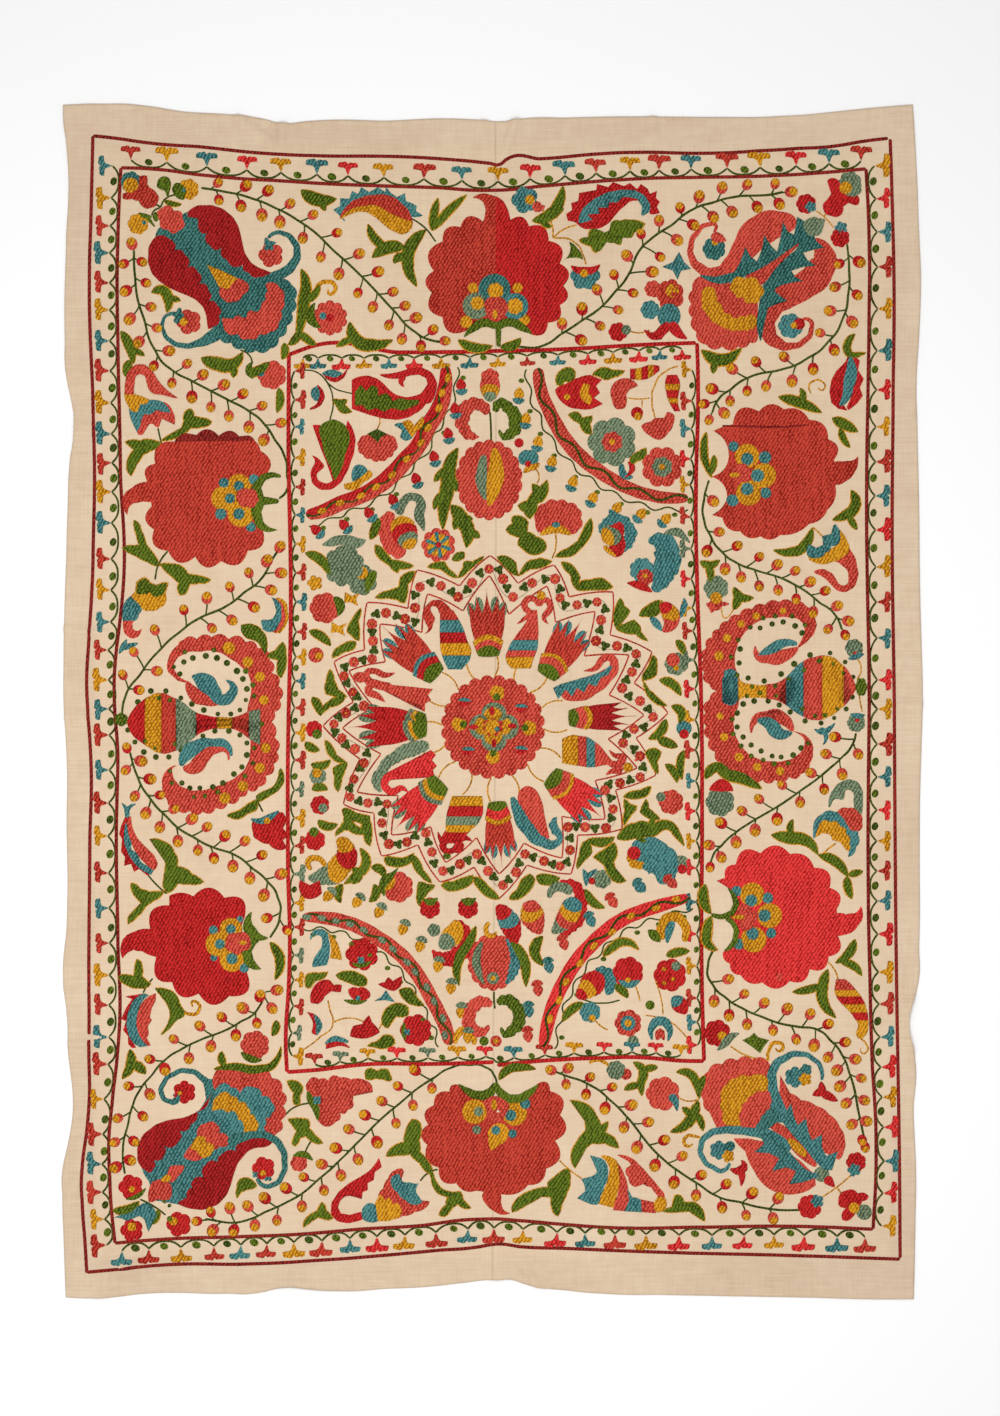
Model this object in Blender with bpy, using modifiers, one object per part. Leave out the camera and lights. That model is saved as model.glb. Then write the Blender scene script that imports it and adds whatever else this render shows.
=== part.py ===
"""Suzani: an embroidered cotton cover of two joined panels, lying face up on a flat surface.

The cover lies in the XY plane with its length along Y and its face up. Its underside rests on
z = 0, and the origin is under the middle of the cloth. Each panel is one loom width of cotton,
hemmed in its own cloth. The panels meet along a seam down the middle. Their edges wander as a
hand-cut and hand-hemmed cloth does, and a few soft folds and curled edges stand off the surface.
"""
from collections import namedtuple

import bpy
import bmesh
import numpy as np

# Driving dimensions, in metres
MM = 0.001
PANEL_WIDTH = 0.700
CLOTH_LENGTH = 1.938
CLOTH_THICKNESS = 0.0015
SEAM_GAP = 0.0003
SEAM_STRIP = 0.004
GRID_SPACING = 0.040
CLOSEST_LINES = 0.003
COTTON_COLOUR = (0.72, 0.60, 0.46, 1.0)
COTTON_ROUGHNESS = 0.9


def table(columns, *rows):
    """Rows of numbers, or of a name and numbers, under the given column names."""
    row_type = namedtuple("Row", columns)
    return [row_type(*row) for row in rows]


# How far each edge stands outside its straight line, all in millimetres. For the top and bottom
# edges the place is X, and for the side edges it is Y.
TOP_EDGE = table(
    "place out",
    (-709, 13), (-640, 15), (-574, 12), (-508, 2), (-442, -2), (-376, -10), (-343, -17),
    (-310, -14), (-179, -13), (-14, -12), (12, -14), (42, -10), (118, -8), (250, -6),
    (381, -7), (480, -5), (546, 0), (612, 7), (709, 15),
)
BOTTOM_EDGE = table(
    "place out",
    (-709, 12), (-640, 13), (-574, 6), (-442, 6), (-376, 3), (-343, -5), (-310, -3),
    (-245, 2), (-179, -2), (-113, -5), (-47, -12), (10, -17), (29, -17), (52, -10),
    (118, 0), (184, 6), (282, 8), (447, 11), (546, 13), (612, 15), (709, 15),
)
LEFT_EDGE = table(
    "place out",
    (-984, 2), (-870, 6), (-805, 8), (-755, 7), (-729, 1), (-564, -1), (-498, 2), (-465, 6),
    (-366, 1), (-202, 1), (-70, 2), (-4, 6), (62, 6), (134, 5), (226, 2), (325, -1),
    (391, -4), (447, -11), (490, -6), (523, 1), (589, 4), (744, 2), (908, 2), (951, 7), (984, 6),
)
RIGHT_EDGE = table(
    "place out",
    (-984, -7), (-842, -4), (-762, -3), (-663, -7), (-567, -6), (-531, -14), (-498, -11),
    (-465, -1), (-399, 2), (-268, 3), (-136, 4), (-70, 6), (-4, 8), (62, 7), (161, 4),
    (325, 2), (457, -1), (523, -2), (589, 2), (786, 1), (885, -3), (984, -9),
)
# The seam's own X at each Y
SEAM_LINE = table("place out", (-984, 0), (-500, 2), (0, 5), (984, 5))

# Soft folds, in millimetres: each is a smooth ridge from its start to its end. The fades are the
# lengths over which it dies out at the two ends, and 0 where it runs out over the cloth's edge.
FOLDS = table(
    "name start_x start_y end_x end_y half_width rise fade_in fade_out",
    ("fold_across", -720, -27, 720, -4, 13, 2.5, 0, 0),
    ("pleat_left", -720, 121, -620, 111, 10, 5.0, 0, 35),
    ("crease_left", -720, -470, -610, -478, 11, 3.0, 0, 40),
    ("crease_left_low", -720, -562, -620, -564, 11, 3.0, 0, 40),
    ("pull_left", -705, 447, -640, 447, 28, 4.0, 0, 40),
    ("curl_right", 690, -470, 688, -590, 15, 7.0, 25, 25),
    ("roll_bottom", -370, -957, -258, -962, 14, 7.0, 25, 25),
    ("pull_bottom", 9, -890, 12, -970, 22, 5.0, 40, 0),
    ("slant_bottom", 22, -898, 88, -975, 12, 4.0, 25, 0),
    ("notch_top", -343, 965, -352, 900, 13, 5.5, 0, 30),
    ("slant_top", -425, 965, -352, 912, 12, 3.5, 0, 25),
    ("flute_top", 41, 970, 16, 885, 12, 6.0, 0, 25),
    ("flute_top_left", -14, 970, -12, 890, 13, 3.0, 0, 30),
    ("ripple_top", 262, 975, 268, 905, 14, 3.0, 0, 30),
    ("slant_corner", -655, -990, -585, -918, 13, 3.0, 0, 30),
)


def along_table(rows, place):
    """A smooth curve through a table's rows, in metres: cubic pieces that share their slopes."""
    places = np.array([row.place for row in rows]) * MM
    outs = np.array([row.out for row in rows]) * MM
    slopes = np.gradient(outs, places)
    start = np.clip(np.searchsorted(places, place) - 1, 0, len(places) - 2)
    step = places[start + 1] - places[start]
    t = np.clip((place - places[start]) / step, 0, 1)
    from_start = outs[start] + t * step * slopes[start]
    from_end = outs[start + 1] - (1 - t) * step * slopes[start + 1]
    blend = t * t * (3 - 2 * t)
    return (1 - blend) * from_start + blend * from_end


def soft_step(t):
    """0 up to t = 0, 1 from t = 1, and a smooth rise between."""
    t = np.clip(t, 0, 1)
    return t * t * (3 - 2 * t)


def fold_height(x, y):
    """How high the underside stands over each place: the highest of the folds that cross it."""
    height = np.zeros_like(x)
    for fold in FOLDS:
        start = np.array((fold.start_x, fold.start_y)) * MM
        end = np.array((fold.end_x, fold.end_y)) * MM
        length = np.linalg.norm(end - start)
        direction = (end - start) / length
        along = (x - start[0]) * direction[0] + (y - start[1]) * direction[1]
        across = (y - start[1]) * direction[0] - (x - start[0]) * direction[1]
        half_width = fold.half_width * MM
        section = 0.5 + 0.5 * np.cos(np.pi * np.clip(np.abs(across) / half_width, 0, 1))
        fade_in = max(fold.fade_in * MM, CLOSEST_LINES)
        fade_out = max(fold.fade_out * MM, CLOSEST_LINES)
        ends = soft_step(along / fade_in) * soft_step((length - along) / fade_out)
        height = np.maximum(height, fold.rise * MM * section * ends)
    return height


def grid_lines(low, high, places):
    """Even steps from low to high, with lines at the given places too, none of them crowded."""
    steps = int(round((high - low) / GRID_SPACING))
    wanted = sorted(place for place in places if low < place < high)
    lines = [low, high]
    for place in wanted + list(np.linspace(low, high, steps + 1)):
        if min(abs(place - line) for line in lines) > CLOSEST_LINES:
            lines.append(place)
    return np.array(sorted(lines))


def fold_places(axis):
    """Where grid lines run beside the folds: through both ends, and across each slope."""
    places = []
    for fold in FOLDS:
        start = (fold.start_x, fold.start_y)[axis] * MM
        end = (fold.end_x, fold.end_y)[axis] * MM
        half_width = fold.half_width * MM
        runs_along = abs(end - start) > 2 * half_width
        if fold.name == "fold_across" and axis == 0:
            continue
        offsets = (0,) if runs_along else (-half_width, -half_width / 2, 0, half_width / 2, half_width)
        for share in (0, 0.25, 0.5, 0.75, 1) if runs_along else (0.5,):
            places += [start + (end - start) * share + offset for offset in offsets]
    return places


def cotton():
    """Undyed cotton, a warm off-white."""
    material = bpy.data.materials.new("cotton")
    material.use_nodes = True
    shader = material.node_tree.nodes["Principled BSDF"]
    shader.inputs["Base Color"].default_value = COTTON_COLOUR
    shader.inputs["Roughness"].default_value = COTTON_ROUGHNESS
    material.diffuse_color = COTTON_COLOUR
    return material


def make_panel(name, side, outer_edge, collection, material):
    """One loom width of cloth. side is -1 for the left panel and 1 for the right one."""
    outer_line = side * PANEL_WIDTH
    half_length = CLOTH_LENGTH / 2
    strip_lines = [side * SEAM_STRIP, side * 2 * SEAM_STRIP]
    across = grid_lines(min(0, outer_line), max(0, outer_line), strip_lines + fold_places(0))
    along = grid_lines(-half_length, half_length, fold_places(1))

    cloth = bmesh.new()
    bmesh.ops.create_grid(cloth, x_segments=len(across) - 1, y_segments=len(along) - 1, size=1)
    corners = np.array([corner.co[:] for corner in cloth.verts])
    column = np.rint((corners[:, 0] + 1) / 2 * (len(across) - 1)).astype(int)
    row = np.rint((corners[:, 1] + 1) / 2 * (len(along) - 1)).astype(int)

    level = along[row]
    from_seam = np.abs(across[column]) / PANEL_WIDTH
    seam_x = along_table(SEAM_LINE, level) + side * SEAM_GAP / 2
    outer_x = outer_line + side * along_table(outer_edge, level)
    x = seam_x + (outer_x - seam_x) * from_seam
    top_y = half_length + along_table(TOP_EDGE, x)
    bottom_y = -half_length - along_table(BOTTOM_EDGE, x)
    y = bottom_y + (top_y - bottom_y) * (level / CLOTH_LENGTH + 0.5)
    # the doubled edge along the seam is stiff, so the cloth stays level across it
    from_strip = soft_step(np.abs(x - seam_x) / SEAM_STRIP - 1)
    z = fold_height(seam_x + (x - seam_x) * from_strip, y)
    for corner, place in zip(cloth.verts, np.column_stack((x, y, z))):
        corner.co = place

    mesh = bpy.data.meshes.new(name)
    cloth.to_mesh(mesh)
    cloth.free()
    mesh.materials.append(material)
    panel = bpy.data.objects.new(name, mesh)
    collection.objects.link(panel)
    mesh.shade_smooth()
    mesh.set_sharp_from_angle(angle=np.radians(40))
    solidify = panel.modifiers.new("thickness", "SOLIDIFY")
    solidify.thickness = CLOTH_THICKNESS
    solidify.offset = 1
    return panel


def main():
    for old in list(bpy.data.objects):
        bpy.data.objects.remove(old)
    suzani = bpy.data.collections.new("suzani")
    bpy.context.scene.collection.children.link(suzani)
    material = cotton()
    make_panel("panel_left", -1, LEFT_EDGE, suzani, material)
    make_panel("panel_right", 1, RIGHT_EDGE, suzani, material)


main()
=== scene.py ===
# Suzani: an embroidered cotton cover of two loom widths, laid flat with its face up.
# The motifs are charted. A square of the chart is chart["square"] metres on the cloth,
# and the chart is read from its top left corner, x to the right and y down. A mark is "x,y" or
# "x,y,w", where w is half the width of the stitching there, in squares.
from collections import defaultdict

import bpy
import numpy as np
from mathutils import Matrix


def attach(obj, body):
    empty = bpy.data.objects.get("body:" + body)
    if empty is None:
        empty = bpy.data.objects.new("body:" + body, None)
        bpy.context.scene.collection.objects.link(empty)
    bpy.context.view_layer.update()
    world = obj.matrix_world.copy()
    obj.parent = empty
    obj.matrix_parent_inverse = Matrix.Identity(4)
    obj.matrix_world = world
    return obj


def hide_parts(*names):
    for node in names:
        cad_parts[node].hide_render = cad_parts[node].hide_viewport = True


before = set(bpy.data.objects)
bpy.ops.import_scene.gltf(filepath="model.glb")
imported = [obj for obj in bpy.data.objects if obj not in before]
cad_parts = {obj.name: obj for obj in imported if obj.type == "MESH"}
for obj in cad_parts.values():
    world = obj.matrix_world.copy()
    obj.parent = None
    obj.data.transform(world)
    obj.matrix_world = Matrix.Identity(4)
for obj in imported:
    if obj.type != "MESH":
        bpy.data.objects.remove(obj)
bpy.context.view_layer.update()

print("scene: the packed model is loaded")

mm = 0.001
chart = {"square": 0.001647, "middle": np.array((492.5, 701.5))}

# The cloth

cloth = {
    "panelWidth": 0.700,
    "length": 1.938,
    "thickness": 0.0012,
    "step": 0.014,           # between the lines of its grid
    "closeStep": 0.0035,     # the same where folds cross it
    "hemWidth": 0.010,
    "hemRise": 0.0004,
    "puckerRise": 0.0007,
    "puckerShortest": 0.034,
    "puckerLongest": 0.120,
    "puckerWaves": 12,
}

# How far each edge stands outside its straight line, in millimetres: (place along the edge, out)
topEdge = (
    (-709, 13), (-640, 15), (-574, 12), (-508, 2), (-442, -2), (-376, -10), (-343, -17),
    (-310, -14), (-179, -13), (-14, -12), (12, -14), (42, -10), (118, -8), (250, -6),
    (381, -7), (480, -5), (546, 0), (612, 7), (709, 15),
)
bottomEdge = (
    (-709, 12), (-640, 13), (-574, 6), (-442, 6), (-376, 3), (-343, -5), (-310, -3),
    (-245, 2), (-179, -2), (-113, -5), (-47, -12), (10, -17), (29, -17), (52, -10),
    (118, 0), (184, 6), (282, 8), (447, 11), (546, 13), (612, 15), (709, 15),
)
leftEdge = (
    (-984, 2), (-870, 6), (-805, 8), (-755, 7), (-729, 1), (-564, -1), (-498, 2), (-465, 6),
    (-366, 1), (-202, 1), (-70, 2), (-4, 6), (62, 6), (134, 5), (226, 2), (325, -1),
    (391, -4), (447, -11), (490, -6), (523, 1), (589, 4), (744, 2), (908, 2), (951, 7), (984, 6),
)
rightEdge = (
    (-984, -7), (-842, -4), (-762, -3), (-663, -7), (-567, -6), (-531, -14), (-498, -11),
    (-465, -1), (-399, 2), (-268, 3), (-136, 4), (-70, 6), (-4, 8), (62, 7), (161, 4),
    (325, 2), (457, -1), (523, -2), (589, 2), (786, 1), (885, -3), (984, -9),
)
seamLine = ((-984, 0), (-500, 2), (0, 5), (984, 5))

# Soft folds, in millimetres: start x and y, end x and y, half width, rise, and the lengths over
# which the fold dies out at its two ends
folds = (
    (-720, -27, 720, -4, 13, 2.5, 0, 0),
    (-720, 121, -620, 111, 10, 5.0, 0, 35),
    (-720, -470, -610, -478, 11, 3.0, 0, 40),
    (-720, -562, -620, -564, 11, 3.0, 0, 40),
    (-705, 447, -640, 447, 28, 4.0, 0, 40),
    (690, -470, 688, -590, 15, 7.0, 25, 25),
    (-370, -957, -258, -962, 14, 7.0, 25, 25),
    (9, -890, 12, -970, 22, 5.0, 40, 0),
    (22, -898, 88, -975, 12, 4.0, 25, 0),
    (-343, 965, -352, 900, 13, 5.5, 0, 30),
    (-425, 965, -352, 912, 12, 3.5, 0, 25),
    (41, 970, 16, 885, 12, 6.0, 0, 25),
    (-14, 970, -12, 890, 13, 3.0, 0, 30),
    (262, 975, 268, 905, 14, 3.0, 0, 30),
    (-655, -990, -585, -918, 13, 3.0, 0, 30),
)
# Where the grid is close, in millimetres, for the folds that cross it
closeRows = ((-42, 10), (100, 132), (-490, -458), (-575, -551), (-978, -940), (898, 972))
closeColumns = ((-440, -330), (-28, 3), (3, 100), (248, 282), (672, 706), (-668, -572))


def alongTable(rows, place):
    # a smooth curve through the rows, in metres: cubic pieces that share their slopes
    places, outs = np.array(rows, float).T * mm
    slopes = np.gradient(outs, places)
    start = np.clip(np.searchsorted(places, place) - 1, 0, len(places) - 2)
    step = places[start + 1] - places[start]
    t = np.clip((place - places[start]) / step, 0, 1)
    fromStart = outs[start] + t * step * slopes[start]
    fromEnd = outs[start + 1] - (1 - t) * step * slopes[start + 1]
    blend = t * t * (3 - 2 * t)
    return (1 - blend) * fromStart + blend * fromEnd


def softStep(t):
    # 0 up to t = 0, 1 from t = 1, and a smooth rise between
    t = np.clip(t, 0, 1)
    return t * t * (3 - 2 * t)


def puckerWaves():
    # the directions, lengths and starts of the waves that pucker the cloth, always the same
    draw = np.random.default_rng(12)
    count = cloth["puckerWaves"]
    turns = draw.uniform(0, np.pi, count)
    lengths = draw.uniform(cloth["puckerShortest"], cloth["puckerLongest"], count)
    overX, overY = 2 * np.pi * np.cos(turns) / lengths, 2 * np.pi * np.sin(turns) / lengths
    return overX, overY, draw.uniform(0, 6.3, count)


waves = puckerWaves()


def clothHeight(x, y):
    # how high the underside stands: the highest fold that crosses the place, each a cosine ridge
    # that fades at its ends, and over it the mean of the pucker waves
    height = np.zeros_like(x)
    for startX, startY, endX, endY, halfWidth, rise, fadeIn, fadeOut in folds:
        start, end = np.array((startX, startY)) * mm, np.array((endX, endY)) * mm
        length = np.linalg.norm(end - start)
        direction = (end - start) / length
        along = (x - start[0]) * direction[0] + (y - start[1]) * direction[1]
        across = (y - start[1]) * direction[0] - (x - start[0]) * direction[1]
        ridge = 0.5 + 0.5 * np.cos(np.pi * np.clip(np.abs(across) / (halfWidth * mm), 0, 1))
        fades = softStep(along / max(fadeIn, 3) / mm) * softStep((length - along) / max(fadeOut, 3) / mm)
        height = np.maximum(height, rise * mm * ridge * fades)
    pucker = np.zeros_like(x)
    for waveX, waveY, start in zip(*waves):
        pucker += np.sin(waveX * x + waveY * y + start)
    pucker = 0.5 + 0.5 * np.clip(pucker / np.sqrt(3 * cloth["puckerWaves"]), -1, 1)
    return height + cloth["puckerRise"] * pucker


# Finishes

class Wire:
    # one output of a finish's node: sums written on wires add Math nodes
    def __init__(self, finish, socket):
        self.finish, self.socket = finish, socket

    def math(self, operation, *values):
        return self.finish.add("ShaderNodeMath", {"operation": operation}, *values)

    def __add__(self, other):
        return self.math("ADD", self, other)

    def __radd__(self, other):
        return self.math("ADD", other, self)

    def __sub__(self, other):
        return self.math("SUBTRACT", self, other)

    def __rsub__(self, other):
        return self.math("SUBTRACT", other, self)

    def __mul__(self, other):
        return self.math("MULTIPLY", self, other)

    def __rmul__(self, other):
        return self.math("MULTIPLY", other, self)

    def __truediv__(self, other):
        return self.math("DIVIDE", self, other)


class Finish:
    # a material whose nodes are made by add
    def __init__(self, name):
        self.material = bpy.data.materials.new(name)
        self.material.use_nodes = True
        self.tree = self.material.node_tree
        self.shader = self.tree.nodes["Principled BSDF"]

    def add(self, kind, settings=None, *values, output=0, **named):
        # a node of that type: its settings first, then its sockets by place or by name
        node = self.tree.nodes.new(kind)
        for name, value in (settings or {}).items():
            setattr(node, name, value)
        sockets = [(place, value) for place, value in enumerate(values) if value is not None]
        for socket, value in sockets + [(name.replace("_", " "), value) for name, value in named.items()]:
            if isinstance(value, Wire):
                self.tree.links.new(value.socket, node.inputs[socket])
            else:
                node.inputs[socket].default_value = value
        return Wire(self, node.outputs[output])

    def noise(self, place, scale, detail=2.0, roughness=0.5):
        return self.add("ShaderNodeTexNoise", None, Vector=place, Scale=scale, Detail=detail,
                        Roughness=roughness)

    def stretched(self, place, size):
        # the same place, with each axis stretched by its own size
        return self.add("ShaderNodeVectorMath", {"operation": "MULTIPLY"}, place, size)

    def sine(self, value):
        return value.math("SINE", value, None)

    def clipped(self, value, low=0.0, high=1.0):
        return self.add("ShaderNodeClamp", None, Value=value, Min=low, Max=high)

    def blend(self, share, dark, light):
        # a colour between two others
        return self.add("ShaderNodeMix", {"data_type": "RGBA"}, share, None, None, None, None, None,
                        dark, light, output=2)

    def give(self, **sockets):
        for name, value in sockets.items():
            socket = self.shader.inputs[name.replace("_", " ")]
            if isinstance(value, Wire):
                self.tree.links.new(value.socket, socket)
            else:
                socket.default_value = value


def linear(code):
    # the colour of a six figure code, as the shader counts it
    parts = np.array([int(code[i:i + 2], 16) for i in (0, 2, 4)]) / 255
    light = np.where(parts < 0.04045, parts / 12.92, ((parts + 0.055) / 1.055) ** 2.4)
    return tuple(np.clip(light, 0, 1)) + (1.0,)


cottonFinish = {
    "ground": "e4cdb0", "groundDark": "d2b697",
    "margin": "e2ccb0", "marginDark": "caae92",
    "yarn": 0.0011,            # between the yarns of the weave, in metres
    "marginX": 0.655, "marginTop": 0.905, "marginBottom": -0.915,
    "weaveDepth": 0.0003, "roughness": 0.92,
}


def cottonMaterial():
    look = cottonFinish
    finish = Finish("cotton")
    place = finish.add("ShaderNodeTexCoord", None, output=3)
    x = finish.add("ShaderNodeSeparateXYZ", None, place, output=0)
    y = finish.add("ShaderNodeSeparateXYZ", None, place, output=1)
    weave = 6.2832 / look["yarn"]
    warp, weft = finish.sine(x * weave), finish.sine(y * weave)
    yarns = warp * weft * 0.25 + 0.5
    slubsAcross = finish.noise(finish.stretched(place, (14, 420, 1)), 1.0, 3)
    slubsAlong = finish.noise(finish.stretched(place, (420, 14, 1)), 1.0, 3)
    slubs = slubsAcross * 0.6 + slubsAlong * 0.4
    clouds = finish.noise(place, 5.0, 4, 0.62)
    spots = finish.noise(place, 60.0, 2)
    # the margin outside the outer line has had more wear and dust
    outX = finish.clipped((x.math("ABSOLUTE", x) - look["marginX"]) * 120 + 0.5)
    outTop = finish.clipped((y - look["marginTop"]) * 60 + 0.5)
    outBottom = finish.clipped((look["marginBottom"] - y) * 60 + 0.5)
    outside = outX.math("MAXIMUM", outX, outX.math("MAXIMUM", outTop, outBottom))
    shade = finish.clipped(0.5 + (slubs - 0.5) * 1.5 + (clouds - 0.5) * 1.1 + (spots - 0.5) * 0.5
                           + (yarns - 0.5) * 0.3)
    ground = finish.blend(shade, linear(look["groundDark"]), linear(look["ground"]))
    margin = finish.blend(shade, linear(look["marginDark"]), linear(look["margin"]))
    height = yarns * 0.6 + slubs * 0.9
    bump = finish.add("ShaderNodeBump", None, Strength=0.5, Distance=look["weaveDepth"], Height=height)
    finish.give(Base_Color=finish.blend(outside, ground, margin), Roughness=look["roughness"], Normal=bump)
    finish.give(**{"Specular IOR Level": 0.15})
    return finish.material


threadFinish = {
    "rowWidth": 0.0052,        # between the slanting rows of couching, in metres
    "stitchLength": 0.0070,    # along a row
    "rowAcross": 0.87, "rowAlong": 0.50,
    # how much each changes the shade: couching is painted shade in the grooves between the rows and painted
    # highlight on their crests
    "couching": 1.7, "specks": 2.3, "streaks": 1.3, "dye": 0.8, "tone": 0.14,
    "pileDepth": 0.0008, "roughness": 0.75,
}


def threadMaterial(name, code, contrast=1.0):
    # laid threads held by slanting rows of small stitches: the rows are a sine across them, cut
    # into stitches by a sine along them, with streaks where the dye took unevenly. The rows are also
    # painted into the colour: painted shade in their grooves, painted highlight on their crests
    look = threadFinish
    finish = Finish(name)
    laid = finish.add("ShaderNodeUVMap", {"uv_map": "laid"})
    x = finish.add("ShaderNodeSeparateXYZ", None, laid, output=0)
    y = finish.add("ShaderNodeSeparateXYZ", None, laid, output=1)
    wander = finish.noise(laid, 130.0, 1)
    row = (x * look["rowAcross"] - y * look["rowAlong"]) / look["rowWidth"] + wander * 0.7
    place = (x * look["rowAlong"] + y * look["rowAcross"]) / look["stitchLength"]
    place = place + row.math("FLOOR", row, None) * 0.37 + wander * 0.8
    ridge = finish.sine(row.math("FRACT", row, None) * 3.1416)
    stitch = finish.sine(place * 6.2832) * 0.5 + 0.5
    couching = ridge * (0.5 + 0.5 * stitch)
    streaks = finish.noise(finish.stretched(laid, (190, 10, 1)), 1.0, 2)
    across = x * look["rowAcross"] - y * look["rowAlong"]
    along = x * look["rowAlong"] + y * look["rowAcross"]
    leaning = finish.add("ShaderNodeCombineXYZ", None, across * 330, along * 185)
    specks = finish.noise(leaning, 1.0, 1)
    dye = finish.noise(laid, 28.0, 3, 0.6)
    tone = finish.add("ShaderNodeAttribute", {"attribute_name": "tone"}, output=2)
    # painted shade and highlight: the couching term darkens the grooves between the rows and lightens their
    # crests; the other terms are the thread's own unevenness
    shade = 0.5 + contrast * ((couching - 0.42) * look["couching"] + (specks - 0.5) * look["specks"]
                              + (streaks - 0.5) * look["streaks"] + (dye - 0.5) * look["dye"]
                              + tone * look["tone"])
    base = np.array(linear(code))
    # painted sheen: the pale end is paler dye plus a painted sheen, 1.45 times the colour and a little white;
    # the dark end is darker, more saturated dye and painted shade
    dark, paleDyeAndSheen = tuple(0.7 * base ** 1.35), tuple(np.clip(1.45 * base + 0.008, 0, 1))
    colour = finish.blend(finish.clipped(shade), dark, paleDyeAndSheen)
    bump = finish.add("ShaderNodeBump", None, Strength=0.6, Distance=look["pileDepth"],
                      Height=couching * 0.7 + specks * 0.6)
    finish.give(Base_Color=colour, Roughness=look["roughness"], Normal=bump)
    finish.give(**{"Specular IOR Level": 0.1})
    return finish.material


# Each thread: its colour, the record's slot, and how strongly its uneven dye and its painted shade and
# highlight show
threads = {
    "crimson": ("a61715", "thread_red", 1.0),
    "carmine": ("8f0d0d", "thread_red", 0.9),
    "bright": ("bf2b28", "thread_red", 1.0),
    "madder": ("a63222", "thread_red", 1.0),
    "rose": ("b34031", "thread_red", 1.0),
    "wine": ("7c1a12", "thread_red", 0.9),
    "blue": ("3f706e", "thread_blue", 1.0),
    "deep": ("34645e", "thread_blue", 1.1),
    "ochre": ("b8800f", "thread_gold", 0.9),
    "leaf": ("4e5e06", "thread_green", 1.0),
    "vine": ("3a4903", "thread_green", 0.8),
    "sage": ("66745a", "thread_green", 1.0),
}
madeMaterials = {"cotton": cottonMaterial()}
for thread, (code, slotName, contrast) in threads.items():
    madeMaterials[thread] = threadMaterial(thread, code, contrast)
print("scene: finishes are ready")

# Sewing: patches of laid thread, gathered by thread and by part of the cover

sewing = {
    "edge": 0.0020,      # how far in from its edge a patch reaches its full height
    "rise": 0.00055,     # how high laid thread stands on the cloth
    "layer": 0.00028,    # how much each patch over another adds
    "stagger": 0.00004,  # how much the heights of patches that follow each other differ
    "sunk": 0.00035,     # how far a patch's edge is below what it lies on
    "longest": 0.0050,   # the longest face of a large patch
    "turns": 3,          # how far a patch's rows turn from the rest, in degrees
}
sewn = defaultdict(list)
draws = np.random.default_rng(7)


def onCloth(marks):
    # chart squares to metres on the cloth
    return (marks[:, :2] - chart["middle"]) * (chart["square"], -chart["square"])


def marksOf(text, third=None):
    # the marks of a text, where a mark without its third number gets the usual one
    marks = [[float(n) for n in mark.split(",")] for mark in text.split()]
    return np.array([mark + [third] * (3 - len(mark)) if third is not None else mark for mark in marks])


def partOf(x, y):
    # the part of the cover that a mark is in
    if 287 < x < 705 and 350 < y < 1066:
        return "Field"
    if y < 357:
        return "Top"
    if y > 1062:
        return "Bottom"
    return "Left" if x < 492 else "Right"


def smoothLine(marks, places):
    # a smooth curve through the marks at the given shares of its length: cubic pieces whose slopes
    # come from the neighbouring marks
    steps = np.maximum(np.linalg.norm(np.diff(marks[:, :2], axis=0), axis=1), 1e-6)
    reach = np.concatenate(([0], np.cumsum(steps)))
    slopes = np.gradient(marks, reach, axis=0)
    place = places * reach[-1]
    start = np.clip(np.searchsorted(reach, place, side="right") - 1, 0, len(marks) - 2)
    step = steps[start][:, None]
    t = ((place - reach[start]) / steps[start])[:, None]
    fromStart = marks[start] + t * step * slopes[start]
    fromEnd = marks[start + 1] - (1 - t) * step * slopes[start + 1]
    blend = t * t * (3 - 2 * t)
    return (1 - blend) * fromStart + blend * fromEnd


def keep(thread, where, flat, inset, level, faces):
    # adds a patch: flat is its corners on the cloth, and inset how far each is from its edge. The
    # height rises as a quarter circle would from the sunk edge to the full pile.
    earlier = len(sewn[partOf(*where), thread])
    full = sewing["rise"] + level * sewing["layer"] + earlier % 5 * sewing["stagger"]
    low = -sewing["sunk"] if level == 0 else full - sewing["layer"] - sewing["sunk"] / 2
    share = np.clip(inset / sewing["edge"], 0, 1)
    lift = low + (full - low) * np.sqrt(1 - (1 - share) ** 2)
    angle = np.radians(draws.normal(0, sewing["turns"]))
    shift = draws.uniform(0, 4, 2)
    laid = np.column_stack((flat[:, 0] * np.cos(angle) + flat[:, 1] * np.sin(angle),
                            flat[:, 1] * np.cos(angle) - flat[:, 0] * np.sin(angle))) + shift
    tone = np.full(len(flat), draws.uniform(-1, 1))
    sewn[partOf(*where), thread].append((flat, lift, laid, tone, faces))


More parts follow.
